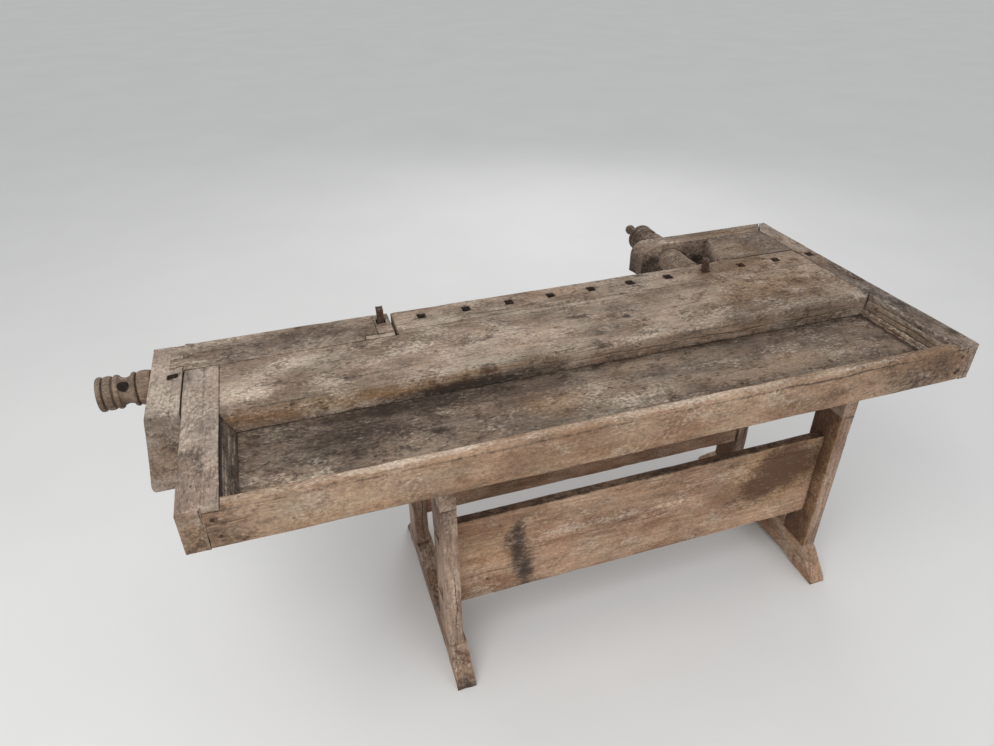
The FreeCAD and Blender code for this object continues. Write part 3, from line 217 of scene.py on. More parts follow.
def lattice(lines, solids, holes):
    """Skin of the cells whose middles lie in a solid box and in no hole box.

    Between each two neighbouring cells of which one is filled lies one quad, wound so that it faces
    out of the filled cell. Points that no quad uses are left out.
    """
    middles = np.meshgrid(*[(line[1:] + line[:-1]) / 2 for line in lines], indexing="ij")

    def inside(box):
        return np.all([(m > box[2 * i]) & (m < box[2 * i + 1]) for i, m in enumerate(middles)], axis=0)

    filled = np.zeros(middles[0].shape, bool)
    for box in solids:
        filled |= inside(box)
    for box in holes:
        filled &= ~inside(box)
    filled = np.pad(filled, 1).astype(np.int8)
    counts = [len(line) for line in lines]
    stride = np.array([counts[1] * counts[2], counts[2], 1])
    quads = []
    for axis in range(3):
        u, v = stride[(axis + 1) % 3], stride[(axis + 2) % 3]
        step = np.diff(filled, axis=axis)
        trim = tuple(slice(None) if i == axis else slice(1, -1) for i in range(3))
        for sign, corners in ((-1, (0, u, u + v, v)), (1, (0, v, u + v, u))):
            first = np.argwhere(step[trim] == sign) @ stride
            quads.append(first[:, None] + np.array(corners)[None, :])
    used, quads = np.unique(np.concatenate(quads), return_inverse=True)
    index = np.stack(np.unravel_index(used, counts), axis=1)
    points = np.stack([lines[i][index[:, i]] for i in range(3)], axis=1)
    return points, quads.reshape(-1, 4)


def waves(points, length, seed, stretch=(1.0, 1.0, 1.0), count=14):
    """Sum of sine waves of about this length in seeded directions, mostly between -1 and 1."""
    random = np.random.default_rng(seed)
    way = random.normal(size=(3, count))
    way /= np.linalg.norm(way, axis=0) * length * random.uniform(0.6, 1.7, count)
    travel = (points / np.array(stretch)) @ way * 2 * np.pi + random.uniform(0, 2 * np.pi, count)
    return np.clip(np.sin(travel).mean(axis=1) * 2.2, -1.0, 1.0)


def pull_in(points, quads, share, rounds):
    """Worn edges: in every round each point goes its share of the way to the mean of its
    neighbours, each weighted by how near it was at the start, so that flat faces stay as they are."""
    ends = np.concatenate([quads[:, [i, (i + 1) % 4]] for i in range(4)])
    total = len(points)
    code = np.unique(ends.min(axis=1) * total + ends.max(axis=1))
    a, b = code // total, code % total
    weight = 1.0 / np.maximum(np.linalg.norm(points[a] - points[b], axis=1), 0.05)
    whole = np.bincount(a, weight, total) + np.bincount(b, weight, total)
    for _ in range(rounds):
        mean = np.stack([np.bincount(a, weight * points[b, i], total)
                         + np.bincount(b, weight * points[a, i], total) for i in range(3)], axis=1)
        points = points + share[:, None] * (mean / whole[:, None] - points)
    return points


def outward(points, quads):
    """Unit normal at each point: the sum of the crossed diagonals of the quads round it."""
    crossed = np.cross(points[quads[:, 2]] - points[quads[:, 0]],
                       points[quads[:, 3]] - points[quads[:, 1]])
    normal = np.stack([sum(np.bincount(quads[:, k], crossed[:, i], len(points)) for k in range(4))
                       for i in range(3)], axis=1)
    return normal / np.maximum(np.linalg.norm(normal, axis=1, keepdims=True), 1e-9)


def round_hole(points, plane, centre, half, radius, outer):
    """Turns a square hole into a round one in the plane of two axes.

    With m the larger and e the true distance from the centre, points at m = half go out to the
    radius, points at m = outer stay, and those between move in proportion.
    """
    offset = points[:, plane] - np.array(centre)
    large = np.abs(offset).max(axis=1)
    true = np.maximum(np.linalg.norm(offset, axis=1), 1e-6)
    part = np.clip((outer - large) / (outer - half), 0.0, 1.0)
    part[large >= outer] = 0.0
    points[:, plane] = np.array(centre) + offset * (1 + part * (radius / true - 1))[:, None]


class Crack:
    """An open crack in one face: it runs along one axis, wanders across another and goes down."""
    REACH, RIM_REACH = 22.0, 12.0
    SWAYS = (43.0, 17.0)

    def __init__(self, along, across, place, face, level, start, end, width=2.4, depth=1.0, sway=2.5):
        self.along, self.across, self.place = along, across, place
        self.face, self.level = face, level
        self.start, self.end = start, end
        self.width, self.depth, self.sway = width, depth, sway

    def lines(self, axis):
        if axis != self.across:
            return []
        return [self.place - self.width / 2, self.place, self.place + self.width / 2]

    def open(self, points, flat, dirt_and_shade, depth):
        """Sways the lines near the crack by two sine waves and pushes its middle line down, both
        by the root of a half sine along it; below, the wood is dark."""
        along, across, level = flat[:, self.along], flat[:, self.across], flat[:, self.face]
        run = np.clip((along - self.start) / (self.end - self.start), 0.0, 1.0)
        taper = np.sqrt(np.sin(np.pi * run))
        inset = np.clip(np.minimum(across - across.min(), across.max() - across) / self.RIM_REACH, 0.0, 1.0)
        near = np.exp(-((across - self.place) / self.REACH) ** 2) * inset
        sway = np.sin(along / self.SWAYS[0] + self.place) + 0.5 * np.sin(along / self.SWAYS[1])
        points[:, self.across] += self.sway * sway * near * taper
        on_face = np.abs(level - self.level) < 0.05
        bottom = on_face & (np.abs(across - self.place) < 0.05)
        side = 1.0 if self.level > (level.min() + level.max()) / 2 else -1.0
        points[bottom, self.face] -= side * depth * self.depth * taper[bottom]
        beside = on_face & (np.abs(across - self.place) < self.width * 0.6)
        for part, darkness in ((bottom, 1.2), (beside, 0.35)):
            dirt_and_shade[part] = np.maximum(dirt_and_shade[part], darkness * taper[part])


def on_circle(a, b):
    """Factor that takes a point on the side of a square to the circle inside it: the larger of its
    offsets a and b over its distance, and 1 outside the quarter where both are above 0."""
    return np.where((a > 0) & (b > 0), np.maximum(a, b) / np.maximum(np.hypot(a, b), 1e-6), 1.0)


class Ease:
    """A rounded edge between two faces, each given as (axis, level, side). Within the radius of
    both, a point as far out as the side of a square goes to the circle; the radius swings between
    two values along the edge, and fades out over the last stretch at its start and end."""
    LINES = (0.12, 0.3, 0.55, 1.0)
    FADE = 12.0
    LEAST = 0.3

    def __init__(self, first, second, low, high, start=-1e6, end=1e6):
        self.faces = (first, second)
        self.low, self.high, self.start, self.end = low, high, start, end
        self.run = 3 - first[0] - second[0]

    def lines(self, axis):
        return [level - side * self.high * part for own, level, side in self.faces
                for part in self.LINES if own == axis]

    def round(self, points, seed):
        run = points[:, self.run]
        along = np.zeros_like(points)
        along[:, self.run] = run
        radius = self.low + (self.high - self.low) * (0.5 + 0.5 * waves(along, 190.0, seed))
        for inside in (run - self.start, self.end - run):
            radius *= np.clip(inside / self.FADE, 0, 1)
        outs = [side * (points[:, axis] - level) + radius for axis, level, side in self.faces]
        rounded = (outs[0] > 0) & (outs[1] > 0) & (radius > self.LEAST)
        scale = on_circle(*outs)
        for (axis, level, side), out in zip(self.faces, outs):
            points[:, axis] = np.where(rounded, level + side * (out * scale - radius), points[:, axis])


def top_edge(axis, level, side, low, high, *ends):
    """A rounded edge between an upright face and the top."""
    return Ease((axis, level, side), (Z, TOP, 1), low, high, *ends)


# ---------------------------------------------------------------- marks that belong to one place
# (piece, layer): soft-edged marks, each with its middle and then its size along X, Y and Z, or
# along X and Y alone for one that goes all the way down, and last its strength; None in a middle
# means all along that axis
# Of the layers, the darkening one holds old stains and also painted shade, and the pale one holds bare wood
# and also two painted lights.
MARKS = {
    ("slab", "stain"): (
        (420, 500, 130, 45, 0.35), (330, 430, 60, 26, 0.35), (860, 520, 110, 30, 0.3),
        (1080, 380, 30, 18, 0.7), (1135, 398, 16, 9, 1.0), (1190, 441, 16, 10, 1.1),
        (1060, 485, 28, 9, 0.8), (1400, 470, 150, 30, 0.3), (1250, 420, 300, 120, 0.34),
        (1720, 450, 330, 190, 0.6), (960, 330, TOP, 300, 14, 6, 0.35), (385, 385, 7, 7, 1.1),
        # The long marks at Y 322 and Z 786 to 800, at the foot of the slab's rear face, darken its corner
        # with the tray floor: grime and painted shade together.
        (1240, 560, 300, 36, 0.25), (500, 322, 786, 420, 6, 9, 1.0), (1400, 322, 788, 500, 6, 13, 0.7),
        (700, 322, 800, 260, 8, 26, 1.25), (735, 322, 835, 30, 20, 44, 0.9),
        (250, 322, 838, 12, 8, 9, 1.0), (1075, 322, 842, 24, 8, 7, 0.9),
        (1938, None, None, 9, 1, 1, 0.95), (84, None, None, 5, 1, 1, 0.35),
        (1700, 322, 800, 220, 6, 14, 0.7)),
    ("slab", "bare"): (
        (160, 400, 80, 60, 0.85), (255, 500, 130, 40, 0.6), (640, 470, 150, 60, 0.5),
        (980, 420, 150, 60, 0.3), (1700, 342, TOP, 260, 14, 9, 0.55), (260, 322, 834, 160, 12, 8, 0.6),
        (1905, 330, TOP, 34, 26, 16, 1.1), (1300, 322, 842, 420, 12, 8, 0.6)),
    ("slab", "warm"): (
        (1700, 480, 330, 150, 0.7), (1100, 430, 240, 90, 0.3), (380, 322, 822, 460, 12, 26, 0.85),
        (700, 322, 832, 200, 12, 16, 0.8), (1500, 322, 820, 500, 12, 24, 0.4)),
    ("dog_strip", "stain"): (
        (600, 600, 30, 20, 0.3), (1720, 630, 330, 120, 0.6), (1490, 682, 60, 12, 0.5),
        (1938, None, None, 9, 1, 1, 0.95), (1250, 640, 240, 90, 0.4)),
    ("dog_strip", "bare"): ((1020, 600, 200, 20, 0.3),),
    ("dog_strip", "warm"): (
        (1740, 630, 330, 90, 0.7), (1050, 650, 300, 60, 0.4), (700, 660, 200, 30, 0.3)),
    ("left_end_cap", "stain"): (
        (40, 560, 50, 50, 0.4), (86, 200, 800, 5, 200, 60, 0.6), (40, 170, 50, 70, 0.45),
        (30, 0, 770, 90, 14, 70, 0.62), (10, 0, 745, 60, 12, 12, 0.5), (86, 190, TOP, 2.5, 130, 8, 1.6)),
    ("left_end_cap", "bare"): (
        (50, 400, 60, 130, 0.5), (30, 250, 50, 90, 0.45), (40, 8, TOP, 60, 8, 5, 0.5)),
    ("left_end_cap", "warm"): ((40, 0, 780, 120, 14, 90, 0.7),),
    ("right_end_cap", "stain"): (
        (1950, 480, 20, 70, 0.3), (1980, 0, 780, 90, 12, 90, 0.55), (1936, 640, TOP, 4, 330, 6, 0.8),
        (1970, 350, 80, 500, 0.8), (2000, 300, 780, 8, 400, 50, 0.35)),
    ("right_end_cap", "bare"): (
        # The pale mark at X 1934 lightens the cap's inner face above the right ramp, which lies in shade:
        # painted light.
        (1990, 250, TOP, 8, 420, 10, 0.5), (1934, 180, 846, 6, 130, 8, 0.7)),
    ("right_end_cap", "warm"): (
        (1970, 0, 790, 90, 12, 70, 0.5), (1965, 650, 60, 330, 0.6), (1965, 120, TOP, 60, 160, 20, 0.4)),
    ("tray_board", "stain"): (
        (370, 215, 240, 110, 0.95), (600, 170, 200, 60, 0.45), (860, 280, 200, 24, 0.3),
        (200, 290, 160, 40, 0.7), (480, 190, 46, 20, 0.9), (570, 176, 42, 20, 1.0),
        (200, 190, 110, 90, 0.5), (1430, 95, 260, 40, 0.55), (1760, 80, 260, 60, 0.5),
        # The bands all along the tray at Y 326 beside the slab and Y 30 beside the rail, and across it at X
        # 116 and 1906 at the ramps' feet, darken its corners: grime and painted shade together.
        (738, 227, 10, 8, 0.9), (None, 326, None, 1, 30, 1, 0.75), (None, 30, None, 1, 16, 1, 0.5),
        (500, 300, 360, 50, 1.05), (330, 250, 160, 60, 0.5), (116, None, None, 12, 1, 1, 0.6),
        (1906, None, None, 8, 1, 1, 0.8)),
    ("tray_board", "bare"): (
        (230, 95, 90, 30, 0.6), (170, 130, 60, 20, 0.4), (1500, 205, 260, 60, 0.3),
        (1000, 150, 240, 70, 0.4), (1700, 190, 160, 50, 0.3)),
    ("tray_board", "warm"): (
        (860, 190, 160, 70, 0.5), (1500, 160, 380, 110, 0.35)),
    ("left_tray_ramp", "stain"): (
        (None, None, 790, 1, 1, 14, 0.8), (None, 200, 820, 1, 260, 60, 0.7),
        (88, None, 845, 3.5, 1, 12, 1.8), (100, 70, 806, 20, 26, 10, 0.9)),
    ("left_tray_ramp", "bare"): (
        (98, 180, 838, 30, 120, 3, 1.6), (108, 130, 806, 30, 80, 3.5, 1.7),
        (100, 110, 828, 20, 70, 3, 1.5), (104, 230, 817, 20, 80, 3.5, 1.5),
        (112, 260, 801, 20, 40, 3.5, 1.3)),
    ("right_tray_ramp_lower", "stain"): (
        (None, None, 789, 1, 1, 6, 1.0), (None, 200, 798, 1, 200, 20, 0.4)),
    ("right_tray_ramp_lower", "bare"): ((None, 180, 806, 1, 120, 4, 0.5),),
    ("right_tray_ramp_lower", "warm"): ((None, 200, 800, 1, 150, 20, 0.5),),
    ("right_tray_ramp_upper", "stain"): (
        (None, None, 808, 1, 1, 3, 1.1), (None, 200, 822, 1, 200, 20, 0.3)),
    ("right_tray_ramp_upper", "bare"): ((None, 160, 832, 1, 150, 7, 0.6),),
    ("right_tray_ramp_upper", "warm"): ((None, 200, 820, 1, 160, 14, 0.5),),
    ("tray_rail", "stain"): (
        (165, 0, 786, 26, 7, 8, 0.8), (70, 0, 780, 90, 7, 90, 0.6), (420, 0, 720, 300, 7, 30, 0.3),
        (74, 0, 790, 18, 7, 26, 0.5), (691, 0, 784, 9, 7, 7, 1.0), (300, 0, 843, 26, 8, 5, 0.7),
        (917, 0, 843, 16, 8, 6, 0.8), (1513, 0, 782, 120, 7, 30, 0.5), (1780, 0, 790, 12, 7, 7, 1.0),
        (1850, 0, 770, 220, 9, 120, 0.68), (1955, 0, 770, 14, 7, 9, 1.1), (1900, 0, 818, 46, 7, 10, 0.8),
        # The band all along the rail at Y 30 and Z 792 darkens the foot of its inner face, in the corner
        # with the tray floor: grime and painted shade together.
        (1600, 0, 836, 300, 6, 3, 0.9), (1700, 20, TOP, 300, 24, 5, 0.5), (None, 30, 792, 1, 5, 18, 0.7),
        (None, RAIL_FRONT, TOP, 1, 4, 5, 0.5), (1960, 20, TOP, 60, 40, 5, 0.5)),
    ("tray_rail", "bare"): (
        (430, 16, TOP, 400, 16, 4, 0.85), (1150, 16, TOP, 420, 18, 5, 0.8),
        (1600, 10, TOP, 200, 10, 4, 0.7), (1150, 0, 812, 420, 7, 50, 0.3),
        (1290, 0, 800, 160, 7, 26, 0.25), (620, 0, 800, 200, 7, 30, 0.25)),
    ("tray_rail", "warm"): (
        (300, 0, 765, 260, 7, 30, 0.45), (1000, 0, 760, 500, 7, 26, 0.35),
        (1350, 0, 770, 200, 7, 30, 0.3)),
    ("rear_stretcher", "stain"): (
        (758, 140, 370, 26, 14, 135, 1.15), (776, 140, 285, 29, 14, 100, 1.1),
        (734, 140, 402, 26, 14, 36, 0.9), (800, 140, 262, 12, 14, 40, 0.8),
        (1600, 140, 425, 120, 14, 100, 1.5), (1530, 140, 370, 100, 14, 70, 1.3),
        (1450, 140, 330, 60, 14, 30, 0.6), (668, 140, 278, 7, 14, 5, 1.3), (709, 140, 465, 9, 14, 6, 0.8),
        (862, 140, 240, 6, 14, 5, 0.9), (1178, 140, 482, 7, 14, 5, 0.7), (838, 140, 337, 6, 14, 5, 0.6),
        (1500, 140, 480, 200, 14, 22, 0.5), (1300, 140, 430, 60, 14, 12, 0.4),
        (None, 150, 510, 1, 30, 5, 0.8)),
    ("rear_stretcher", "bare"): ((1000, 140, 390, 330, 14, 22, 0.6),),
    ("rear_stretcher", "warm"): (
        (1570, 140, 410, 150, 14, 130, 1.4), (650, 140, 380, 160, 14, 120, 0.5)),
    ("front_stretcher", "stain"): (
        (1000, 525, 505, 500, 20, 8, 0.4), (900, 539, 330, 60, 6, 40, 0.5)),
    ("front_stretcher", "warm"): ((None, 500, 480, 1, 12, 60, 0.8),),
    # The marks at X 1716 darken and redden the right posts' inner faces over their whole height: painted
    # shade under the top.
    ("right_rear_post", "stain"): ((1716, 170, 9, 90, 1.05),),
    ("right_rear_post", "warm"): ((1716, 150, 9, 90, 1.2),),
    ("right_front_post", "stain"): ((1716, 560, 9, 90, 1.1),),
    ("right_front_post", "warm"): ((1716, 560, 9, 90, 1.0),),
    ("left_rear_post", "stain"): (
        (560, 98, 590, 40, 6, 30, 0.5), (540, 190, 400, 5, 22, 300, 0.4)),
    ("left_rear_post", "bare"): ((565, 98, 300, 14, 6, 160, 0.35),),
    ("right_foot", "stain"): ((1733, 20, 20, 60, 18, 24, 0.5),),
    ("right_foot", "bare"): ((1730, 60, 80, 60, 40, 22, 0.5),),
    ("left_foot", "stain"): (
        (567, 20, 20, 60, 30, 50, 0.9), (540, 90, 50, 6, 60, 40, 0.4), (None, None, None, 1, 1, 1, 0.5)),
    ("left_foot", "bare"): ((None, None, None, 1, 1, 1, 0.3),),
    ("front_beam", "stain"): (
        # The long mark at Y 866 and Z 765 makes the lower part of the beam's inner face darker.
        (1456, 900, 770, 40, 60, 80, 0.8), (1600, 866, 765, 400, 7, 66, 1.1),
        (1730, 869, TOP, 210, 3, 8, 0.7), (1972, 900, TOP, 12, 40, 12, 1.2)),
    ("front_beam", "bare"): (
        (1560, 885, TOP, 90, 24, 8, 0.45), (1700, 925, TOP, 260, 14, 8, 0.3),
        (1500, 868, 800, 70, 3, 40, 0.5)),
    ("front_beam", "warm"): ((1750, 900, TOP, 260, 60, 12, 0.5),),
    ("shoulder_block", "stain"): (
        (1672, 770, 775, 48, 150, 62, 1.25), (1700, 862, 770, 60, 16, 90, 0.6),
        (1830, 867, TOP, 130, 3, 8, 0.8), (1860, 790, 140, 90, 0.6)),
    ("shoulder_block", "bare"): (
        (1680, 740, TOP, 24, 60, 8, 0.5), (1760, 716, 90, 12, 0.4)),
    ("shoulder_block", "warm"): ((1800, 760, 200, 140, 0.5),),
    ("tail_head_block", "stain"): (
        (-60, 352, 690, 70, 14, 90, 0.4), (-100, 520, 650, 60, 200, 40, 0.5),
        (-72, 410, TOP, 14, 20, 8, 0.5), (-45, 640, TOP, 50, 30, 8, 0.3), (None, 352, 846, 1, 4, 4, 0.9),
        (-30, 352, 760, 22, 14, 30, 0.7)),
    ("tail_head_block", "bare"): (
        (-40, 440, TOP, 60, 110, 10, 0.75), (-80, 520, TOP, 7, 170, 9, 0.5),
        (-50, 560, TOP, 40, 60, 8, 0.4)),
    ("tail_head_block", "warm"): ((-60, 352, 720, 70, 14, 90, 0.6),),
    ("tail_arm_top", "stain"): (
        (250, 620, 360, 90, 0.68), (-36, 626, TOP, 3, 70, 6, 0.8), (470, 600, 36, 50, 0.4)),
    ("tail_arm_top", "bare"): (
        # The thin pale line at Y 554 along the arm's top edge, near the cap, is a painted highlight.
        (60, 554, TOP, 90, 5, 5, 0.8), (120, 600, TOP, 120, 30, 8, 0.3)),
    ("tail_jaw_block", "stain"): (
        (522, 620, TOP, 20, 30, 10, 0.5), (549, None, None, 5, 1, 1, 0.5)),
}


LAYERS = ("stain", "bare", "warm")


def marks_on(node, points):
    """Strength of each layer of marks at each point: a mark's own strength, times e to the power of
    minus the square of the distance from its middle in its sizes; the strongest one counts."""
    layers = {layer: np.zeros(len(points)) for layer in LAYERS}
    for layer, found in layers.items():
        for *spans, strength in MARKS.get((node, layer), ()):
            axes = len(spans) // 2
            away = np.zeros(len(points))
            for axis, (middle, size) in enumerate(zip(spans[:axes], spans[axes:])):
                if middle is not None:
                    away += ((points[:, axis] - middle) / size) ** 2
            np.maximum(found, strength * np.exp(-away), out=found)
    return layers


# ---------------------------------------------------------------- pieces of wood
RIM = (1.3, 3.6, 8.0)
WIDE_RIM = (2.0, 5.5, 12.0)


def linked(name, data):
    """A new object with this data, linked to the scene."""
    made = bpy.data.objects.new(name, data)
    bpy.context.scene.collection.objects.link(made)
    return made


def put_in_scene(node, points, faces, own, worn, layers):
    """Makes the mesh of a piece in scene metres, with its layers, and stands it in for its node.

    The grain layer holds the piece's own coordinates in metres, with the grain along X.
    """
    mesh = bpy.data.meshes.new(node + "_wood")
    mesh.from_pydata(((points + ORIGIN) / MM).tolist(), [], faces)
    for name, values in (("grain", own), ("marks", np.stack(list(layers.values()), axis=1))):
        layer = mesh.attributes.new(name, "FLOAT_VECTOR", "POINT")
        layer.data.foreach_set("vector", np.ascontiguousarray(values, np.float32).ravel())
    layer = mesh.attributes.new("worn", "FLOAT", "POINT")
    layer.data.foreach_set("value", np.ascontiguousarray(worn, np.float32))
    mesh.shade_smooth()
    piece = linked(node + "_wood", mesh)
    mesh.materials.append(wood_material(SLOT_OF[node]))
    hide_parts(node)
    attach(piece, BODY_OF[node])
    return piece


# How a board wears: within a reach of a tight joint only a share of the wear is left. The joint is
# painted darker, as grime and painted shade, and so are the walls of a hole; grime lies at a hole's
# mouth and in a ring round it. An edge that gave way this far is fully worn.
TIGHT_REACH, TIGHT_SHARE = 1.5, 0.12
JOINT_REACH, JOINT_DIRT_AND_SHADE = 3.0, 0.5
RING_REACH, RING_DIRT = 24.0, 0.62
WALL_DIRT_AND_SHADE, MOUTH_DIRT = 1.6, 1.0
FULL_WEAR = 2.4
HOLLOW_LENGTH, RIPPLE_LENGTH, RIPPLE_SHARE = 210.0, 38.0, 0.45
DENT_SIZES, DENT_STRETCH = (4.0, 16.0), 1.8


def board_lines(solids, holes, details, spacing, rim):
    """Coordinates of a board's lattice along each axis: its faces and the lines of its details."""
    lines = []
    for axis in range(3):
        faces = [box[2 * axis + end] for box in (*solids, *holes) for end in (0, 1)]
        low = min(box[2 * axis] for box in solids)
        high = max(box[2 * axis + 1] for box in solids)
        extra = [line for detail in details for line in detail.lines(axis) if low < line < high]
        gap = spacing[axis] if isinstance(spacing, tuple) else spacing
        lines.append(spread(np.clip(faces, low, high), gap, rim, extra))
    return lines


def grime(flat, tight, shaded_and_grimy):
    """Grime and painted shade in tight joints and on the walls of holes, and grime at their mouths and in a
    soft ring round them.
    """
    dirt_and_shade = np.zeros(len(flat))
    for axis, level in tight:
        dirt_and_shade[np.abs(flat[:, axis] - level) < JOINT_REACH] = JOINT_DIRT_AND_SHADE
    for low, high in (np.reshape(box, (3, 2)).T for box in shaded_and_grimy):
        wall = np.all((flat > low - 0.1) & (flat < high + 0.1), axis=1)
        dirt_and_shade[wall] = np.where(flat[wall, Z] < TOP - 1.0, WALL_DIRT_AND_SHADE, MOUTH_DIRT)
        middle = (low + high) / 2
        away = np.hypot(flat[:, X] - middle[X], flat[:, Y] - middle[Y])
        ring = RING_DIRT * np.exp(-(away / RING_REACH) ** 4) * (flat[:, Z] > TOP - 1.0)
        dirt_and_shade = np.maximum(dirt_and_shade, ring)
    return dirt_and_shade


def sunk(points, quads, grain, dents, uneven, seed):
    """Every point goes in along its normal, by broad hollows, ripples that are longer along the
    grain, and seeded dents, which fall off as e to the power of minus the distance squared."""
    wear = bpy.context.scene.bench_wear
    stretch = [1.0, 1.0, 1.0]
    stretch[grain] = 5.0
    hollow = 0.5 + 0.5 * waves(points, HOLLOW_LENGTH, seed + 1)
    ripple = 0.5 + 0.5 * waves(points, RIPPLE_LENGTH, seed + 2, stretch)
    depth = uneven * wear.uneven * MM * (hollow + RIPPLE_SHARE * ripple)
    random = np.random.default_rng(seed + 5)
    longer = np.where(np.arange(3) == grain, DENT_STRETCH, 1.0)
    for _ in range(dents):
        middle = points[random.integers(len(points))]
        size = random.uniform(*DENT_SIZES)
        away = np.linalg.norm((points - middle) / longer, axis=1)
        depth += wear.dents * MM * random.uniform(0.3, 1.0) * np.exp(-(away / size) ** 2)
    return points - outward(points, quads) * depth[:, None]


def board(node, solids=None, holes=(), grain=X, spacing=16.0, rim=RIM, soft=1.0, rounds=7, tight=(),
          cracks=(), edges=(), shaded_and_grimy=(), shape=None, dents=0, uneven=1.0, seed=1):
    """A worn board: boxes less holes as a lattice skin, bent to its shape, with its edges worn
    round, its faces slightly hollow and dented, its cracks opened, and its joints and holes darkened
    by grime and painted shade."""
    wear = bpy.context.scene.bench_wear
    solids = solids or [block(node)]
    flat, quads = lattice(board_lines(solids, holes, (*cracks, *edges), spacing, rim), solids, holes)
    bent = flat.copy()
    for edge in edges:
        edge.round(bent, seed + 7)
    if shape is not None:
        shape(bent)
    share = wear.edges * soft * (0.62 + 0.38 * waves(bent, 160.0, seed, count=10))
    for axis, level in tight:
        share[np.abs(flat[:, axis] - level) < TIGHT_REACH] *= TIGHT_SHARE
    points = pull_in(bent, quads, np.clip(share, 0.02, 0.95), rounds)
    worn = np.clip(np.linalg.norm(points - bent, axis=1) / FULL_WEAR, 0.0, 1.0)
    points = sunk(points, quads, grain, dents, uneven, seed)
    layers = marks_on(node, points)
    dirt_and_shade = grime(flat, tight, shaded_and_grimy)
    for crack in cracks:
        crack.open(points, flat, dirt_and_shade, wear.cracks * MM)
    # Grime and painted shade in joints, holes and cracks go into the darkening layer.
    layers["stain"] = np.maximum(layers["stain"], dirt_and_shade)
    # A seeded shift keeps two boards from sharing their figure.
    order = [grain, (grain + 1) % 3, (grain + 2) % 3]
    shift = np.random.default_rng(seed + 900).uniform(-1.0, 1.0, 3) * np.array([6.0, 0.5, 0.35])
    put_in_scene(node, points, quads.tolist(), points[:, order] / MM + shift, worn, layers)


# ---------------------------------------------------------------- the top
def square(centre, half):
    """Spans of a square round a centre, along its two axes."""
    return (centre[0] - half, centre[0] + half, centre[1] - half, centre[1] + half)


def dog_hole(x, y, bottom):
    """Box of a dog's square hole, open at the top."""
    return (x - DOG_HOLE_X / 2, x + DOG_HOLE_X / 2, y - DOG_HOLE_Y / 2, y + DOG_HOLE_Y / 2, bottom, TOP + 1)


# the row of holes in the strip, and last the one in the right cap
DOG_HOLES = [dog_hole(FIRST_DOG + DOG_PITCH * i, DOG_ROW, UNDER - 1) for i in range(DOG_COUNT + 1)]
STRIP_HOLES, CAP_HOLE = DOG_HOLES[:DOG_COUNT], DOG_HOLES[DOG_COUNT]


def tongue(x_low, x_high, y_low, y_high):
    return (x_low, x_high, y_low, y_high, TONGUE_LOW, TONGUE_HIGH)


def joint_sway(points):
    """The glued joint between slab and dog strip wanders a little: a sum of two sine waves."""
    near = np.exp(-((points[:, Y] - STRIP_REAR) / 14.0) ** 2) * (points[:, X] > SLOT_END + 12)
    near = near * np.clip((SLAB_END - points[:, X]) / 40.0, 0.0, 1.0)
    points[:, Y] += near * (1.3 * np.sin(points[:, X] / 61.0) + 0.6 * np.sin(points[:, X] / 23.0))


def strip_shape(points):
    """The joint's sway, and chipped wood round each dog hole: points move by two sums of sine
    waves, less with the distance from the nearest hole."""
    joint_sway(points)
    middles = FIRST_DOG + DOG_PITCH * np.arange(DOG_COUNT + 1)
    away = np.abs(points[:, X][:, None] - middles[None, :]).min(axis=1)
    near = np.exp(-(np.maximum(away, np.abs(points[:, Y] - DOG_ROW)) / 19.0) ** 4)
    for axis, seed in ((X, 301), (Y, 302)):
        points[:, axis] += 2.6 * near * waves(points, 17.0, seed)


def slab_board():
    solids = [(CAP_END, SLAB_END, SLAB_REAR, SLOT_REAR, UNDER, TOP),
              (SLOT_END, SLAB_END, SLOT_REAR, STRIP_REAR, UNDER, TOP),
              tongue(CAP_END - TONGUE, CAP_END, SLAB_REAR, SLOT_REAR),
              tongue(SLAB_END, SLAB_END + TONGUE, SLAB_REAR, STRIP_REAR)]
    housing = (CAP_END, SLAB_END, SLAB_REAR, SLAB_REAR + TRAY_HOUSING, TRAY_UNDER, TRAY_FLOOR)
    board("slab", solids, [housing], spacing=(7.0, 6.0, 11.0), seed=11, dents=70, rounds=8,
          tight=((X, CAP_END), (X, SLAB_END), (Y, STRIP_REAR), (Y, SLOT_REAR)), shape=joint_sway,
          cracks=(Crack(X, Y, 384.0, Z, TOP, 300, 620, 1.6, 0.5),
                  Crack(X, Y, 452.0, Z, TOP, 1040, 1700, 2.0, 0.6),
                  Crack(X, Y, 498.0, Z, TOP, 150, 420, 1.6, 0.5),
                  Crack(X, Y, 420.0, Z, TOP, 1480, 1930, 1.8, 0.6),
                  Crack(X, Z, 812.0, Y, SLAB_REAR, 900, 1900, 2.2, 0.7)),
          edges=(top_edge(Y, SLAB_REAR, -1, 7.0, 17.0, CAP_END + 4),
                 Ease((X, SLAB_END, 1), (Y, SLAB_REAR, -1), 12.0, 18.0, TRAY_FLOOR + 2)))


def dog_strip_board():
    solids = [cut_to(block("dog_strip"), x=(None, SLAB_END)),
              tongue(SLAB_END, SLAB_END + TONGUE, STRIP_REAR, FRONT)]
    board("dog_strip", solids, STRIP_HOLES, spacing=(7.0, 6.0, 12.0), seed=23, dents=50,
          tight=((Y, STRIP_REAR), (X, SLAB_END)), shaded_and_grimy=STRIP_HOLES, shape=strip_shape,
          cracks=(Crack(X, Y, 600.0, Z, TOP, 700, 1120, 1.6, 0.5),
                  Crack(X, Y, 668.0, Z, TOP, 1200, 1500, 1.5, 0.4)),
          edges=(top_edge(Y, FRONT, 1, 3.0, 8.0), top_edge(X, SLOT_END, -1, 3.0, 7.0)))


def rail_lap(x_low, x_high):
    """The corner of an end cap where the rail's end lies, under the cap's cover."""
    return (x_low, x_high, -1.0, RAIL_FRONT, UNDER - 1, TOP - RAIL_COVER)


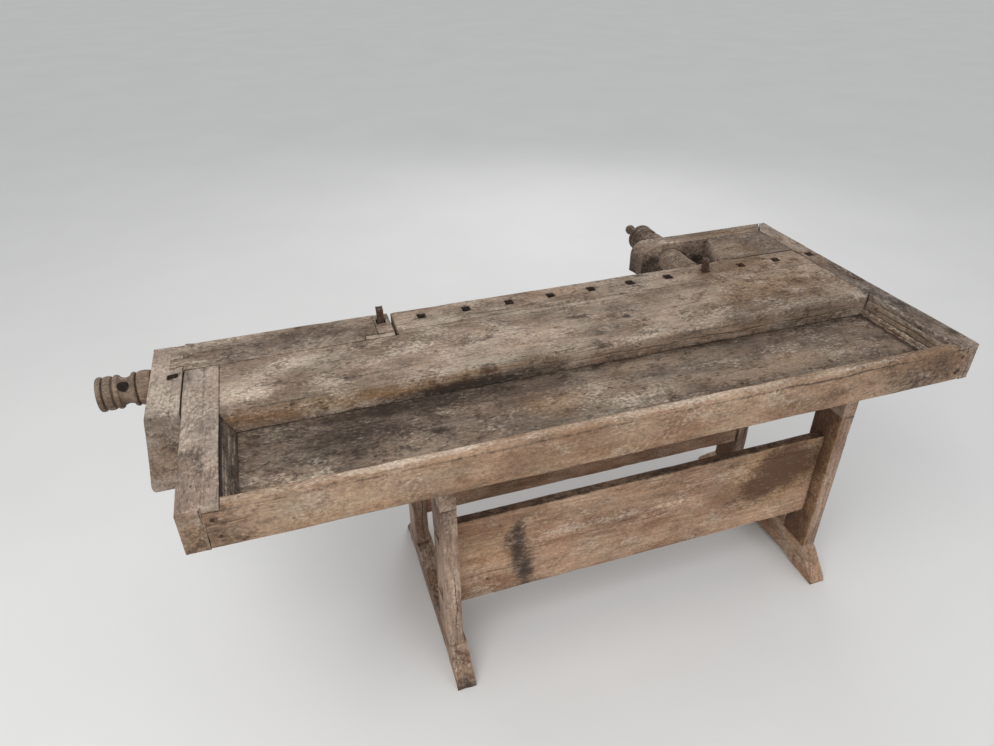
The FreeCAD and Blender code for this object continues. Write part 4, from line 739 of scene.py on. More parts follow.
def left_cap_board():
    nose = (0.0, CAP_END, SLOT_REAR, SLOT_REAR + 99.0, UNDER, TOP - 27.0)
    nut = (-1.0, CAP_END + 1, *square(TAIL_AXIS, TAIL_BORE))
    board("left_end_cap", [(0.0, CAP_END, 0.0, SLOT_REAR, UNDER, TOP), nose],
          [tongue(CAP_END - TONGUE, CAP_END, SLAB_REAR, SLOT_REAR),
           rail_lap(CAP_END - RAIL_LAP, CAP_END), nut], grain=Y, spacing=(8.0, 8.0, 10.0), seed=37,
          dents=26, tight=((X, CAP_END), (X, CAP_END - RAIL_LAP)),
          cracks=(Crack(Z, X, 46.0, Y, 0.0, 796, 880, 2.0, 1.0),),
          edges=(top_edge(X, 0.0, -1, 3.0, 8.0), top_edge(Y, 0.0, -1, 3.0, 7.0)),
          shape=lambda points: round_hole(points, [Y, Z], TAIL_AXIS, TAIL_BORE, 30.9, 37.5))


def right_cap_board():
    body = block("right_end_cap")
    width = body[1] - SLAB_END

    def shape(points):
        """Beside the beam's dovetail the cap's inner face slants away, by 44 mm over the beam."""
        slant = BEAM_DOVETAIL * np.clip((points[:, Y] - BEAM_INNER) / (BEAM_OUTER - BEAM_INNER), 0.0, 1.0)
        points[:, X] += slant * (body[1] - points[:, X]) / width

    board("right_end_cap", [body],
          [tongue(SLAB_END, SLAB_END + TONGUE, SLAB_REAR, FRONT),
           rail_lap(SLAB_END, SLAB_END + RAIL_LAP), CAP_HOLE], grain=Y, spacing=(8.0, 9.0, 11.0),
          seed=41, dents=30, tight=((X, SLAB_END), (X, SLAB_END + RAIL_LAP)), shape=shape,
          shaded_and_grimy=(CAP_HOLE,),
          edges=(top_edge(X, body[1], 1, 4.0, 10.0), top_edge(Y, 0.0, -1, 3.0, 7.0),
                 top_edge(X, SLAB_END, -1, 5.0, 9.0, RAIL_FRONT, SLAB_REAR)),
          cracks=(Crack(Y, X, 1972.0, Z, TOP, 420, 800, 1.6, 0.5),
                  Crack(Y, Z, 802.0, X, body[1], 100, 700, 1.8, 0.6),
                  Crack(Z, X, 1984.0, Y, 0.0, 710, 880, 1.8, 0.6)))


class BENCH_OT_top(bpy.types.Operator):
    """Build the slab, the dog strip and the two end caps"""
    bl_idname = "bench.top"
    bl_label = "Top boards and caps"

    def execute(self, context):
        slab_board()
        dog_strip_board()
        left_cap_board()
        right_cap_board()
        return {"FINISHED"}


# ---------------------------------------------------------------- the tray
def wedge_to(points, outline_z, outline_x, fixed_x):
    """Slants one side of a box: at each height its far side lies as far from the fixed side as the
    outline says, and points between move in proportion."""
    reach = np.abs(points[:, X] - fixed_x).max()
    foot = np.interp(points[:, Z], outline_z, outline_x)
    points[:, X] = fixed_x + (points[:, X] - fixed_x) * foot / reach


def tray_pieces():
    rail = block("tray_rail")
    lap = cut_to(rail, z=(None, TOP - RAIL_COVER))
    body = cut_to(rail, x=(CAP_END, SLAB_END))
    housing = (CAP_END, SLAB_END, RAIL_FRONT - TRAY_HOUSING, RAIL_FRONT, TRAY_UNDER, TRAY_FLOOR)
    ends = (CAP_END + 2, SLAB_END - 2)
    board("tray_rail", [body, lap], [housing], spacing=(11.0, 6.0, 8.0), seed=53, dents=34, uneven=1.3,
          tight=((X, rail[0]), (X, rail[1]), (Z, TOP - RAIL_COVER)),
          cracks=(Crack(X, Z, 806.0, Y, 0.0, 20, 150, 2.0, 0.6),
                  Crack(X, Z, 836.0, Y, 0.0, 1250, 1940, 1.8, 0.7),
                  Crack(X, Z, 768.0, Y, 0.0, 1700, 1960, 1.8, 0.6)),
          edges=(top_edge(Y, 0.0, -1, 4.0, 11.0, *ends), top_edge(Y, RAIL_FRONT, 1, 3.0, 9.0, *ends),
                 Ease((Y, 0.0, -1), (Z, UNDER, -1), 2.0, 7.0)))
    board("tray_board", spacing=(9.0, 7.0, 18.0), seed=59, dents=50, uneven=1.2,
          cracks=(Crack(X, Y, 118.0, Z, TRAY_FLOOR, 800, 1600, 1.8, 0.5),
                  Crack(X, Y, 256.0, Z, TRAY_FLOOR, 100, 700, 1.8, 0.5)))
    low, high = limits("left_tray_ramp")
    board("left_tray_ramp", grain=Y, spacing=(5.0, 6.0, 2.6), seed=61, soft=0.7,
          cracks=(Crack(Y, Z, 815.0, X, high[X], 60, 200, 1.8, 0.4),
                  Crack(Y, Z, 832.0, X, high[X], 150, 320, 1.6, 0.4)),
          shape=lambda points: wedge_to(points, (low[Z], high[Z]), (high[X] - low[X], 1.0), CAP_END))
    for node, foot, top, seed in (("right_tray_ramp_lower", 26.0, 15.0, 67),
                                  ("right_tray_ramp_upper", 15.0, 5.0, 71)):
        low, high = limits(node)
        middle = (low[Z] + high[Z]) / 2
        board(node, grain=Y, spacing=(5.0, 8.0, 6.0), seed=seed, soft=1.1,
              cracks=(Crack(Y, Z, middle, X, low[X], 45, 300, 2.2, 0.4),),
              edges=(Ease((X, low[X], -1), (Z, high[Z], 1), 4.0, 7.0),),
              shape=lambda points: wedge_to(points, (low[Z], high[Z]), (foot, top), SLAB_END))


class BENCH_OT_tray(bpy.types.Operator):
    """Build the tray's rail, floor and sloping end pieces"""
    bl_idname = "bench.tray"
    bl_label = "Tool tray"

    def execute(self, context):
        tray_pieces()
        return {"FINISHED"}


# ---------------------------------------------------------------- tail vise
HEAD_BULGE = 33.0
HEAD_LENGTH = 131.0
DOVETAIL_LENGTH = 33.0
DOVETAIL_ROOT = HEAD_RIGHT - DOVETAIL_LENGTH
JAW_LAP = (JAW_LEFT - 36.0, JAW_LEFT, ARM_REAR, ARM_REAR + 23.0, ARM_UNDER, TOP)
SEAT_RADIUS, SEAT_EDGE = 50.5, 2.5


def dovetail_roots():
    """Y spans of the two tails of the arm's top board where they leave the board."""
    width = ARM_FRONT - ARM_REAR
    return [(ARM_REAR + width * (place - 0.135), ARM_REAR + width * (place + 0.135))
            for place in (0.30, 0.74)]


def flare(points):
    """Dovetails: beyond the head block's inner face the lines along each tail spread apart, in
    proportion to the distance, up to 4.3 hundredths of the arm's width on each side."""
    ends = [edge for root in dovetail_roots() for edge in root]
    spread_by = (ARM_FRONT - ARM_REAR) * 0.043
    moves = [0.0] + [-spread_by, spread_by] * 2 + [0.0]
    run = np.clip((HEAD_RIGHT - points[:, X]) / DOVETAIL_LENGTH, 0.0, 1.0)
    points[:, Y] += run * np.interp(points[:, Y], [ARM_REAR - 60] + ends + [ARM_FRONT], moves)


def head_outer_x(height):
    """X of the head block's bulging outer face: a shallow arc that leans out to the bulge, and
    turns back in at the foot."""
    low, high = limits("tail_head_block")
    drop = (high[Z] - height) / (high[Z] - low[Z])
    lean = np.array((0.0, 0.185, 0.42, 0.69, 1.0, 0.955, 0.73)) * HEAD_BULGE
    return low[X] + HEAD_BULGE - np.interp(drop, (0.0, 0.2, 0.42, 0.65, 0.89, 0.955, 1.0), lean)


def head_block():
    body = block("tail_head_block")
    tails = [(DOVETAIL_ROOT, HEAD_RIGHT + 1, *root, ARM_UNDER, TOP + 1) for root in dovetail_roots()]
    bore = (body[0] - 1, HEAD_RIGHT + 1, *square(TAIL_AXIS, TAIL_BORE))
    wedge = cut_to(block("runner_wedge"), z=(UNDER - 60, TOP + 1))
    key = cut_to(block("tail_garter_key"), z=(body[4] - 1, body[4] + 60))
    seat_x = limits("tail_screw")[0][X] + HEAD_LENGTH + 0.5
    top_x = body[0] + HEAD_BULGE

    def shape(points):
        """The outer half of the block leans out to its bulge, and a flat seat for the screw's head
        is let into it round the bore."""
        outer = head_outer_x(points[:, Z])
        across = (points[:, X] - HEAD_RIGHT) / (body[0] - HEAD_RIGHT)
        round_hole(points, [Y, Z], TAIL_AXIS, TAIL_BORE, 30.5, 38.0)
        straight = HEAD_RIGHT + across * (top_x - HEAD_RIGHT)
        share = np.clip((across - 0.42) / 0.58, 0.0, 1.0)
        points[:, X] = straight + (outer - top_x) * share
        flare(points)
        away = np.hypot(points[:, Y] - TAIL_AXIS[0], points[:, Z] - TAIL_AXIS[1])
        in_seat = np.clip((SEAT_RADIUS - away) / SEAT_EDGE, 0.0, 1.0)
        flush = np.maximum(points[:, X], seat_x)
        points[:, X] += (flush - points[:, X]) * in_seat

    board("tail_head_block", [body], tails + [bore, wedge, key], grain=Y, spacing=7.0, seed=73, dents=60,
          soft=1.15, rounds=9, uneven=1.8, shape=shape, tight=((X, DOVETAIL_ROOT),), shaded_and_grimy=(wedge,),
          edges=(top_edge(Y, body[2], -1, 2.0, 5.0), Ease((Y, body[2], -1), (Z, body[4], -1), 9.0, 14.0),
                 top_edge(Y, body[3], 1, 5.0, 10.0)))


def arm_boards():
    arm = cut_to(block("tail_arm_top"), x=(HEAD_RIGHT, None))
    tails = [(DOVETAIL_ROOT, HEAD_RIGHT, *root, ARM_UNDER, TOP) for root in dovetail_roots()]
    board("tail_arm_top", [arm] + tails, [JAW_LAP], spacing=(9.0, 7.0, 10.0), seed=79, dents=30,
          tight=((X, DOVETAIL_ROOT), (Y, JAW_LAP[3]), (X, JAW_LEFT), (Y, ARM_REAR)),
          shape=flare, edges=(top_edge(Y, ARM_FRONT, 1, 3.0, 9.0, 10.0),),
          cracks=(Crack(X, Y, 628.0, Z, TOP, 40, 330, 1.6, 0.5),
                  Crack(X, Y, 584.0, Z, TOP, 260, 480, 1.5, 0.4)))
    board("tail_arm_front", spacing=(14.0, 8.0, 9.0), seed=83, dents=14, tight=((Z, ARM_UNDER),),
          cracks=(Crack(X, Z, 790.0, Y, ARM_FRONT, 60, 420, 1.8, 0.6),))


def jaw_and_tie_blocks():
    """The guide strip runs in a groove with half a millimetre of play through both blocks."""
    low, high = limits("tail_guide_strip")
    groove = (JAW_LEFT - 60, SLOT_END, ARM_REAR - 1, high[Y] + 0.5, low[Z] - 0.5, high[Z] + 0.5)
    jaw = cut_to(block("tail_jaw_block"), x=(JAW_LEFT, None))
    dog_x, dog_y = (limits("tail_dog")[0] + limits("tail_dog")[1])[:2] / 2
    hole = dog_hole(dog_x, dog_y, UNDER - 20)
    board("tail_jaw_block", [jaw, JAW_LAP], [groove, hole], spacing=(7.0, 8.0, 9.0), seed=89, dents=12,
          tight=((X, JAW_LEFT), (Y, JAW_LAP[3])), soft=1.1, shaded_and_grimy=(hole,),
          edges=(top_edge(Y, jaw[3], 1, 3.0, 8.0), top_edge(X, jaw[1], 1, 3.0, 7.0)))
    tie = block("tail_tie_block")
    foot = cut_to(tie, y=(None, ARM_REAR), z=(None, block("tail_runner")[5]))
    board("tail_tie_block", [cut_to(tie, y=(ARM_REAR, None)), foot], [groove], grain=Z,
          spacing=12.0, seed=97)


def runner_boards():
    runner = block("tail_runner")
    tenon = cut_to(runner, x=(None, HEAD_RIGHT), z=(runner[4] + 6, runner[5] - 6))
    wedge = cut_to(block("runner_wedge"), z=(UNDER - 60, UNDER))
    board("tail_runner", [cut_to(runner, x=(HEAD_RIGHT, None)), tenon], [wedge], spacing=18.0, seed=101)
    board("tail_guide_strip", spacing=24.0, seed=103)
    hanger = block("tail_runner_hanger")
    channel = (hanger[0] - 1, hanger[1] + 1, runner[2] - 0.5, runner[3] + 0.5,
               hanger[4] + HANGER_FLOOR, UNDER + 1)
    board("tail_runner_hanger", [hanger], [channel], spacing=14.0, seed=107)


class BENCH_OT_tail_vise(bpy.types.Operator):
    """Build the tail vise's head block, arm, jaw and runner"""
    bl_idname = "bench.tail_vise"
    bl_label = "Tail vise"

    def execute(self, context):
        head_block()
        arm_boards()
        jaw_and_tie_blocks()
        runner_boards()
        return {"FINISHED"}


# ---------------------------------------------------------------- shoulder vise
BEAM_SKEW = 13.0
BEAM_ROUND_INNER, BEAM_ROUND_OUTER = 60.0, 48.0
BLOCK_SLANT = 57.0
CHOP_ROUND = 58.0


def round_corner(points, centre, side):
    """Rounds one upper corner of the chop in X and Z, past the centre of its round."""
    away_x = (points[:, X] - centre[0]) * side
    away_z = points[:, Z] - centre[1]
    scale = on_circle(away_x, away_z)
    points[:, X] = centre[0] + away_x * side * scale
    points[:, Z] = centre[1] + away_z * scale


def beam():
    low, high = limits("front_beam")
    nut = square(FRONT_AXIS, FRONT_BORE)

    def shape(points):
        """The free end leans by 13 mm between the beam's faces, the dovetail by 44 mm, and the top
        corner's round goes from 60 mm inside to 48 mm outside."""
        round_hole(points, [X, Z], FRONT_AXIS, FRONT_BORE, 42.9, 48.0)
        inward = 1 - (points[:, Y] - low[Y]) / (high[Y] - low[Y])
        run = (points[:, X] - low[X]) / (high[X] - low[X])
        start = BEAM_SKEW * inward * np.clip(1 - run / 0.12, 0.0, 1.0)
        end = -BEAM_DOVETAIL * inward * np.clip((run - 0.7) / 0.3, 0.0, 1.0)
        points[:, X] += start + end
        gap = np.clip((run - 0.985) / 0.015, 0.0, 1.0) * np.clip((points[:, Z] - TOP + 12) / 12, 0.0, 1.0)
        points[:, X] -= 5.0 * gap
        face = low[X] + BEAM_SKEW * inward
        radius = BEAM_ROUND_OUTER + (BEAM_ROUND_INNER - BEAM_ROUND_OUTER) * inward
        away_x = radius - np.clip(points[:, X] - face, 0.0, None)
        away_z = points[:, Z] - (TOP - radius)
        corner = (away_x > 0) & (away_z > 0)
        scale = on_circle(away_x, away_z)
        points[:, X] = np.where(corner, face + radius - away_x * scale, points[:, X])
        points[:, Z] = np.where(corner, TOP - radius + away_z * scale, points[:, Z])

    board("front_beam", [block("front_beam")], [(*nut[:2], low[Y] - 1, high[Y] + 1, *nut[2:])],
          spacing=(8.0, 8.0, 7.0), seed=109, dents=30, tight=((X, high[X]),), shape=shape,
          uneven=1.3, soft=0.7,
          cracks=(Crack(X, Y, 905.0, Z, TOP, 1560, 1900, 1.8, 0.6),
                  Crack(X, Z, 766.0, Y, high[Y], 1640, 1960, 1.8, 0.6)))


def shoulder_block_board():
    low, high = limits("shoulder_block")

    def shape(points):
        """The left face slants back by 57 mm from the strip to the beam. Its top edge is worn away
        in upright gouges: a sum of sine waves across, which fades downwards and inwards."""
        slant = BLOCK_SLANT * ((points[:, Y] - low[Y]) / (high[Y] - low[Y]))
        points[:, X] += slant * ((high[X] - points[:, X]) / (high[X] - low[X]))
        away = points[:, X] - low[X] - slant
        gouge = 0.5 + 0.5 * np.sin(points[:, Y] / 4.2 + 1.8 * np.sin(points[:, Y] / 15.0))
        up = np.clip((points[:, Z] - UNDER - 30) / (TOP - UNDER - 30), 0.0, 1.0)
        points[:, X] += 6.0 * gouge * up ** 2 * np.clip(1 - away / 40.0, 0.0, 1.0)
        points[:, Z] -= 4.0 * gouge * np.clip(1 - away / 34.0, 0.0, 1.0) * (up > 0.98)

    board("shoulder_block", spacing=(7.0, 3.4, 9.0), seed=113, dents=26, shape=shape, soft=1.2,
          tight=((Y, low[Y]), (X, high[X]), (Y, high[Y])), uneven=1.2,
          edges=(top_edge(X, low[X], -1, 14.0, 24.0),),
          cracks=(Crack(X, Y, 765.0, Z, TOP, 1700, 1900, 1.6, 0.5),
                  Crack(X, Y, 822.0, Z, TOP, 1760, 1930, 1.5, 0.4)))


def chop_boards():
    low, high = limits("front_chop")
    guide = block("chop_guide_bar")
    key = block("front_garter_key")

    def shape(points):
        for side, edge in ((-1, low[X]), (1, high[X])):
            round_corner(points, (edge - side * CHOP_ROUND, high[Z] - CHOP_ROUND), side)

    mortise = cut_to(guide, y=(low[Y] - 1, high[Y] + 1))
    board("front_chop", holes=[mortise, cut_to(key, z=(key[5] - 70, TOP))], grain=Z,
          spacing=(7.0, 8.0, 7.0), seed=127, dents=12, shape=shape,
          cracks=(Crack(Z, X, 1540.0, Y, high[Y], 680, 790, 1.6, 0.5),))
    board("chop_guide_bar", grain=Y, seed=131)
    hanger = block("chop_guide_hanger")
    channel = (guide[0] - 0.5, guide[1] + 0.5, hanger[2] - 1, hanger[3] + 1,
               hanger[4] + HANGER_FLOOR, guide[5] + 0.5)
    board("chop_guide_hanger", [hanger], [channel], spacing=14.0, seed=137)


class BENCH_OT_shoulder_vise(bpy.types.Operator):
    """Build the shoulder vise's beam, block and chop"""
    bl_idname = "bench.shoulder_vise"
    bl_label = "Shoulder vise"

    def execute(self, context):
        beam()
        shoulder_block_board()
        chop_boards()
        return {"FINISHED"}


# ---------------------------------------------------------------- wooden screws
PITCH = 12.0
THREAD_DEPTH = 5.0
CREST = 6.4
ROUND_STEPS = 96
PROFILE_STEP = 1.25
BAR_HEIGHT, BAR_RADIUS, BORE_LENGTH = 65.0, 14.0, 120.0
KNOB_LENGTH = 96.0
KEY_PLAY = 0.3


def resampled(outline, step):
    """The corners of a polyline and enough points between them that none is a step apart."""
    outline = np.array(outline, float)
    found = [outline[:1]]
    for start, end in zip(outline[:-1], outline[1:]):
        count = max(1, math.ceil(np.linalg.norm(end - start) / step))
        found.append(start + (end - start) * (np.arange(1, count + 1) / count)[:, None])
    return np.concatenate(found)


def bead(height, length, radius, swell):
    """A turned ring: an arc between two heights that swells to the radius in the middle."""
    angle = np.linspace(0.0, np.pi, 9)
    return [(radius - swell + swell * math.sin(a) ** 0.7, height + length * (1 - math.cos(a)) / 2)
            for a in angle]


def head_profile(seat, radius):
    """Outline of a turned head as (radius, height) points: a wide ring, a bead, the hollow waist
    that takes the bar, another bead, a barrel and the end lip, with narrow grooves between."""
    groove = radius - 7.6
    points = bead(seat, 33.0, radius, 4.4)
    points += [(groove, seat + 33.4), (groove, seat + 36.6)]
    points += bead(seat + 37.0, 10.0, radius - 0.4, 5.0)
    waist = [(radius - 11.6 + 5.4 * (1 - math.sin(math.pi * t)), seat + 47.0 + 30.0 * t)
             for t in np.linspace(0.06, 0.94, 9)]
    points += waist
    points += bead(seat + 77.0, 13.0, radius - 0.8, 5.2)
    points += [(groove, seat + 91.4), (groove, seat + 94.6)]
    points += bead(seat + 95.0, 19.0, radius - 1.0, 3.4)
    points += [(groove - 0.6, seat + 114.4), (groove - 0.6, seat + 117.6)]
    return points + bead(seat + 118.0, 13.0, radius, 5.0)


def knob_profile(start, radius):
    """A cone, a thin neck and a round knob on the end of a head."""
    neck, knob, end = start + 18.0, start + 60.0, start + KNOB_LENGTH
    cone = [(radius * 0.8 + (14.0 - radius * 0.8) * t ** 0.8, start + 18.0 * t)
            for t in np.linspace(0.0, 1.0, 5)]
    ball = [(18.0 * math.sin(a), (knob + end) / 2 - 18.0 * math.cos(a))
            for a in np.linspace(0.72, 2.75, 11)]
    return cone + [(12.6, neck + 5.0), (12.0, neck + 20.0), (12.2, knob - 2.0)] + ball


def screw_points(outline, thread, radius, seed):
    """Points of a turned and threaded piece on a grid of angle and place along its outline.

    In the threaded stretch the radius is the core's, raised to the crest where the distance from
    the helix (height minus pitch times turn, folded into one pitch) is small, with sloping flanks.
    Everything is made slightly out of round and chipped by seeded waves, always inwards.
    """
    profile = resampled(outline, PROFILE_STEP)
    angle = np.linspace(0.0, 2 * np.pi, ROUND_STEPS, endpoint=False)
    height = np.broadcast_to(profile[:, 1][:, None], (len(profile), ROUND_STEPS))
    reach = np.broadcast_to(profile[:, 0][:, None], height.shape).copy()
    turn = np.broadcast_to(angle[None, :], height.shape)
    start, end = thread
    fold = ((height - start - PITCH / 2) / PITCH - turn / (2 * np.pi) + 0.5) % 1.0 - 0.5
    slope = (np.abs(fold) * PITCH - CREST / 2) / (PITCH * 0.4 - CREST / 2)
    ridge = radius - (THREAD_DEPTH + 0.6) * np.clip(slope, 0.0, 1.0)
    fade = np.clip((height - start - 2) / 8, 0, 1) * np.clip((end - 8 - height) / 8, 0, 1)
    place = np.stack([reach * np.cos(turn), reach * np.sin(turn), height], axis=2).reshape(-1, 3)
    chips = np.clip(waves(place, 26.0, seed) - 0.35, 0, 1).reshape(height.shape)
    lift = np.clip(ridge - reach, 0.0, None) * fade * (height > start) * (height < end)
    root = (fade > 0.5) & (lift <= 0.3)
    reach = reach + lift * (1 - 0.25 * chips)
    loss = 0.5 * (1 + waves(place, 70.0, seed + 1)).reshape(height.shape) + 1.2 * chips
    reach = np.where(reach > 8.0, reach - np.minimum(loss * 0.7, 1.4), reach)
    crest = np.clip(lift / THREAD_DEPTH, 0, 1) ** 3
    points = np.stack([reach * np.cos(turn), reach * np.sin(turn), height], axis=2)
    return points, crest, root.astype(float)


def tube_faces(rows, columns):
    """Quads of a grid that is closed round its columns, with one flat face over each end."""
    row = np.arange(rows - 1)[:, None] * columns
    column = np.arange(columns)[None, :]
    after = (column + 1) % columns
    quads = np.stack([row + column, row + after, row + columns + after, row + columns + column], axis=2)
    last = (rows - 1) * columns + np.arange(columns)
    return quads.reshape(-1, 4).tolist() + [np.arange(columns)[::-1].tolist(), last.tolist()]


def bore_through(piece, place, direction, radius, length):
    """Cuts a round cross hole and takes the cutter away again."""
    turn = np.linspace(0.0, 2 * np.pi, 40, endpoint=False)
    to_axis = np.array(Vector(direction).normalized().to_track_quat("Z", "Y").to_matrix())
    rings = np.array([[radius * math.cos(t), radius * math.sin(t), z * length / 2]
                      for z in (-1.0, 1.0) for t in turn])
    rings = rings @ to_axis.T + np.array(place)
    mesh = bpy.data.meshes.new("bar_hole_cutter")
    mesh.from_pydata(((rings + ORIGIN) / MM).tolist(), [], tube_faces(2, len(turn)))
    cutter = linked("bar_hole_cutter", mesh)
    cut = piece.modifiers.new("bar_hole", "BOOLEAN")
    cut.object, cut.operation, cut.solver = cutter, "DIFFERENCE", "EXACT"
    seen = bpy.context.evaluated_depsgraph_get()
    holed = bpy.data.meshes.new_from_object(piece.evaluated_get(seen), depsgraph=seen)
    piece.modifiers.clear()
    piece.data = holed
    bpy.data.objects.remove(cutter)
    bpy.data.meshes.remove(mesh)


def screw(node, tip, axes, outline, thread, radius, seat, bar_angle, seed):
    """A wooden screw built up its own axis from its tip and turned into place. The head starts at
    the seat, is painted darker in its grooves, where the outline runs inside its own running mean,
    and has a hole for the bar across its waist."""
    points, crest, root = screw_points(outline, thread, radius, seed)
    height = points[:, :, 2]
    flat = points.reshape(-1, 3)
    placed = flat @ np.array(axes, float) + np.array(tip)
    reach = np.hypot(flat[:, 0], flat[:, 1]).reshape(height.shape)
    smooth = np.convolve(np.pad(reach.mean(axis=1), 6, mode="edge"), np.ones(13) / 13, "valid")
    groove = np.clip((smooth[:, None] - reach) / 3.0, 0, 1) * (height > seat)
    layers = marks_on(node, placed)
    # The head's grooves and the thread's roots are painted darker.
    layers["stain"] = np.maximum(layers["stain"], np.maximum(0.5 * root, 1.1 * groove).ravel())
    own = flat[:, [2, 0, 1]] / MM + np.array([seed * 0.37 % 3, 0.06, -0.045])
    piece = put_in_scene(node, placed, tube_faces(*height.shape), own, 0.35 * crest.ravel(), layers)
    middle = np.array(tip) + (seat + BAR_HEIGHT) * np.array(axes[2])
    across = math.cos(bar_angle) * np.array(axes[0]) + math.sin(bar_angle) * np.array(axes[1])
    bore_through(piece, middle, across, BAR_RADIUS, BORE_LENGTH)


def tail_screw():
    low, high = limits("tail_screw")
    seat = high[X] - low[X] - HEAD_LENGTH
    key_low, key_high = block("tail_garter_key")[:2]
    shank = high[X] - HEAD_RIGHT + 0.5
    radius = 30.0
    core, neck = radius - 6.0, radius - 7.0
    key_start, key_end = high[X] - key_high - KEY_PLAY, high[X] - key_low + KEY_PLAY
    outline = [(1.0, 0.0), (core - 1.5, 0.0), (core, 1.5), (core, shank), (radius, shank),
               (radius, key_start), (neck, key_start), (neck, key_end), (radius, key_end), (radius, seat)]
    outline += head_profile(seat, 46.0)
    end = outline[-1][1]
    outline += [(36.0, end), (34.0, end - 1.6), (1.0, end - 2.0)]
    screw("tail_screw", (high[X], *TAIL_AXIS), ((0, 0, 1), (0, 1, 0), (-1, 0, 0)), outline,
          (0.0, shank), radius, seat, math.radians(-40.0), 149)


def front_screw():
    low, high = limits("front_screw")
    thread_start = limits("front_chop")[1][Y] + 0.5 - low[Y]
    end = high[Y] - low[Y]
    seat = end - KNOB_LENGTH - HEAD_LENGTH
    key_low, key_high = block("front_garter_key")[2:4]
    key_start, key_end = key_low - KEY_PLAY - low[Y], key_high + KEY_PLAY - low[Y]
    radius, spigot = 42.0, 22.0
    core, neck = radius - 6.0, spigot - 7.0
    outline = [(1.0, 0.0), (spigot, 0.0), (spigot, key_start), (neck, key_start), (neck, key_end),
               (spigot, key_end), (spigot, thread_start), (core, thread_start), (core, seat)]
    outline += head_profile(seat, 48.0)
    outline += knob_profile(seat + HEAD_LENGTH, 48.0)
    outline += [(1.0, end)]
    screw("front_screw", (FRONT_AXIS[0], low[Y], FRONT_AXIS[1]), ((1, 0, 0), (0, 0, -1), (0, 1, 0)),
          outline, (thread_start, seat), radius, seat, math.radians(130.0), 151)


class BENCH_OT_screws(bpy.types.Operator):
    """Build the two wooden screws with their turned heads"""
    bl_idname = "bench.screws"
    bl_label = "Wooden screws"

    def execute(self, context):
        tail_screw()
        front_screw()
        return {"FINISHED"}


# ---------------------------------------------------------------- bench dogs
def battered(points, top, seed):
    """The struck end of a dog: it sinks by up to 4 mm, by seeded sine waves, least at its foot."""
    near = np.exp(-((top - points[:, Z]) / 26.0) ** 2)
    points[:, Z] -= 2.2 * near * (1.0 + waves(points * np.array([1.0, 1.0, 0.0]), 21.0, seed + 3))


class BENCH_OT_dogs(bpy.types.Operator):
    """Build the two raised bench dogs"""
    bl_idname = "bench.dogs"
    bl_label = "Bench dogs"

    def execute(self, context):
        for node, seed in (("tail_dog", 157), ("bench_dog", 163)):
            body = block(node)
            spring = block(node + "_spring")
            bed = (body[0] - 1, spring[0] + 3.7, spring[2], spring[3], spring[4] - 2, spring[5])
            board(node, [body], [bed], grain=Z, spacing=4.0, seed=seed, soft=1.4, rounds=10, uneven=1.4,
                  dents=16, shape=lambda points: battered(points, body[5], seed))
        return {"FINISHED"}


# ---------------------------------------------------------------- the base
def foot_board(node, seed):
    """A sled foot: a box whose top and bottom follow the foot's outline across the bench."""
    body = block(node)
    rear, front = body[2], body[3]
    top_y = (rear, rear + 6, rear + 68, rear + 78, front - 78, front - 68, front - 6, front)
    top_z = (3.0, 16.0, body[5] - 4, body[5], body[5], body[5] - 4, 16.0, 3.0)
    arch_y = (rear + 105, rear + 125, front - 125, front - 105)

    def shape(points):
        upper = np.interp(points[:, Y], top_y, top_z)
        lower = np.interp(points[:, Y], arch_y, (0.0, 12.0, 12.0, 0.0))
        points[:, Z] = lower + points[:, Z] / body[5] * (upper - lower)

    board(node, grain=Y, spacing=9.0, rim=WIDE_RIM, seed=seed, soft=1.2, rounds=8, dents=24,
          shape=shape, uneven=1.4, cracks=(Crack(Y, X, body[0] + 22.0, Z, body[5], 60, 180, 2.0, 0.6),))


def tenon_spans():
    """Heights of a stretcher's twin tenons."""
    top = limits("rear_stretcher")[1][Z] - 13.0
    low = limits("rear_stretcher")[0][Z] + 24.0
    return ((low, low + 46.0), (top - 46.0, top))


def trestle(side, seeds):
    foot_board(side + "_foot", seeds[0])
    board(side + "_bearer", grain=Y, spacing=14.0, seed=seeds[1], soft=1.0, dents=10)
    for index, place in enumerate(("rear", "front")):
        post = side + "_" + place + "_post"
        stretcher = block(place + "_stretcher")
        low, high = limits(side + "_foot")[1][Z], limits(side + "_bearer")[0][Z]
        body = cut_to(block(post), z=(low, high))
        mortises = [(body[0] - 1, body[1] + 1, stretcher[2], stretcher[3], *span) for span in tenon_spans()]
        face = body[0] if side == "left" else body[1]
        board(post, [body], mortises, grain=Z, spacing=(8.0, 8.0, 12.0), seed=seeds[2 + index], dents=16,
              soft=1.1, tight=((Z, low), (Z, high)),
              cracks=[Crack(Z, Y, body[2] + 76.0, X, face, 380, 590, 1.8, 0.6),
                      Crack(Z, X, body[0] + 27.0, Y, body[2], 120, 420, 1.8, 0.6)])


def stretcher_board(place, seed, cracks):
    """A wide board with twin tenons, each slotted at both ends for its wedge."""
    body = block(place + "_stretcher")
    left, right = limits("left_rear_post")[1][X], limits("right_rear_post")[0][X]
    solids = [cut_to(body, x=(left, right))]
    slots = []
    for span in tenon_spans():
        solids.append(cut_to(body, z=span))
        middle = (span[0] + span[1]) / 2
        for x in ((body[0] - 1, body[0] + 34), (body[1] - 34, body[1] + 1)):
            slots.append((*x, body[2] - 1, body[3] + 1, middle - 3, middle + 3))
    board(place + "_stretcher", solids, slots, spacing=(11.0, 10.0, 9.0), seed=seed, dents=40, uneven=1.4,
          tight=((X, left), (X, right)), cracks=cracks)


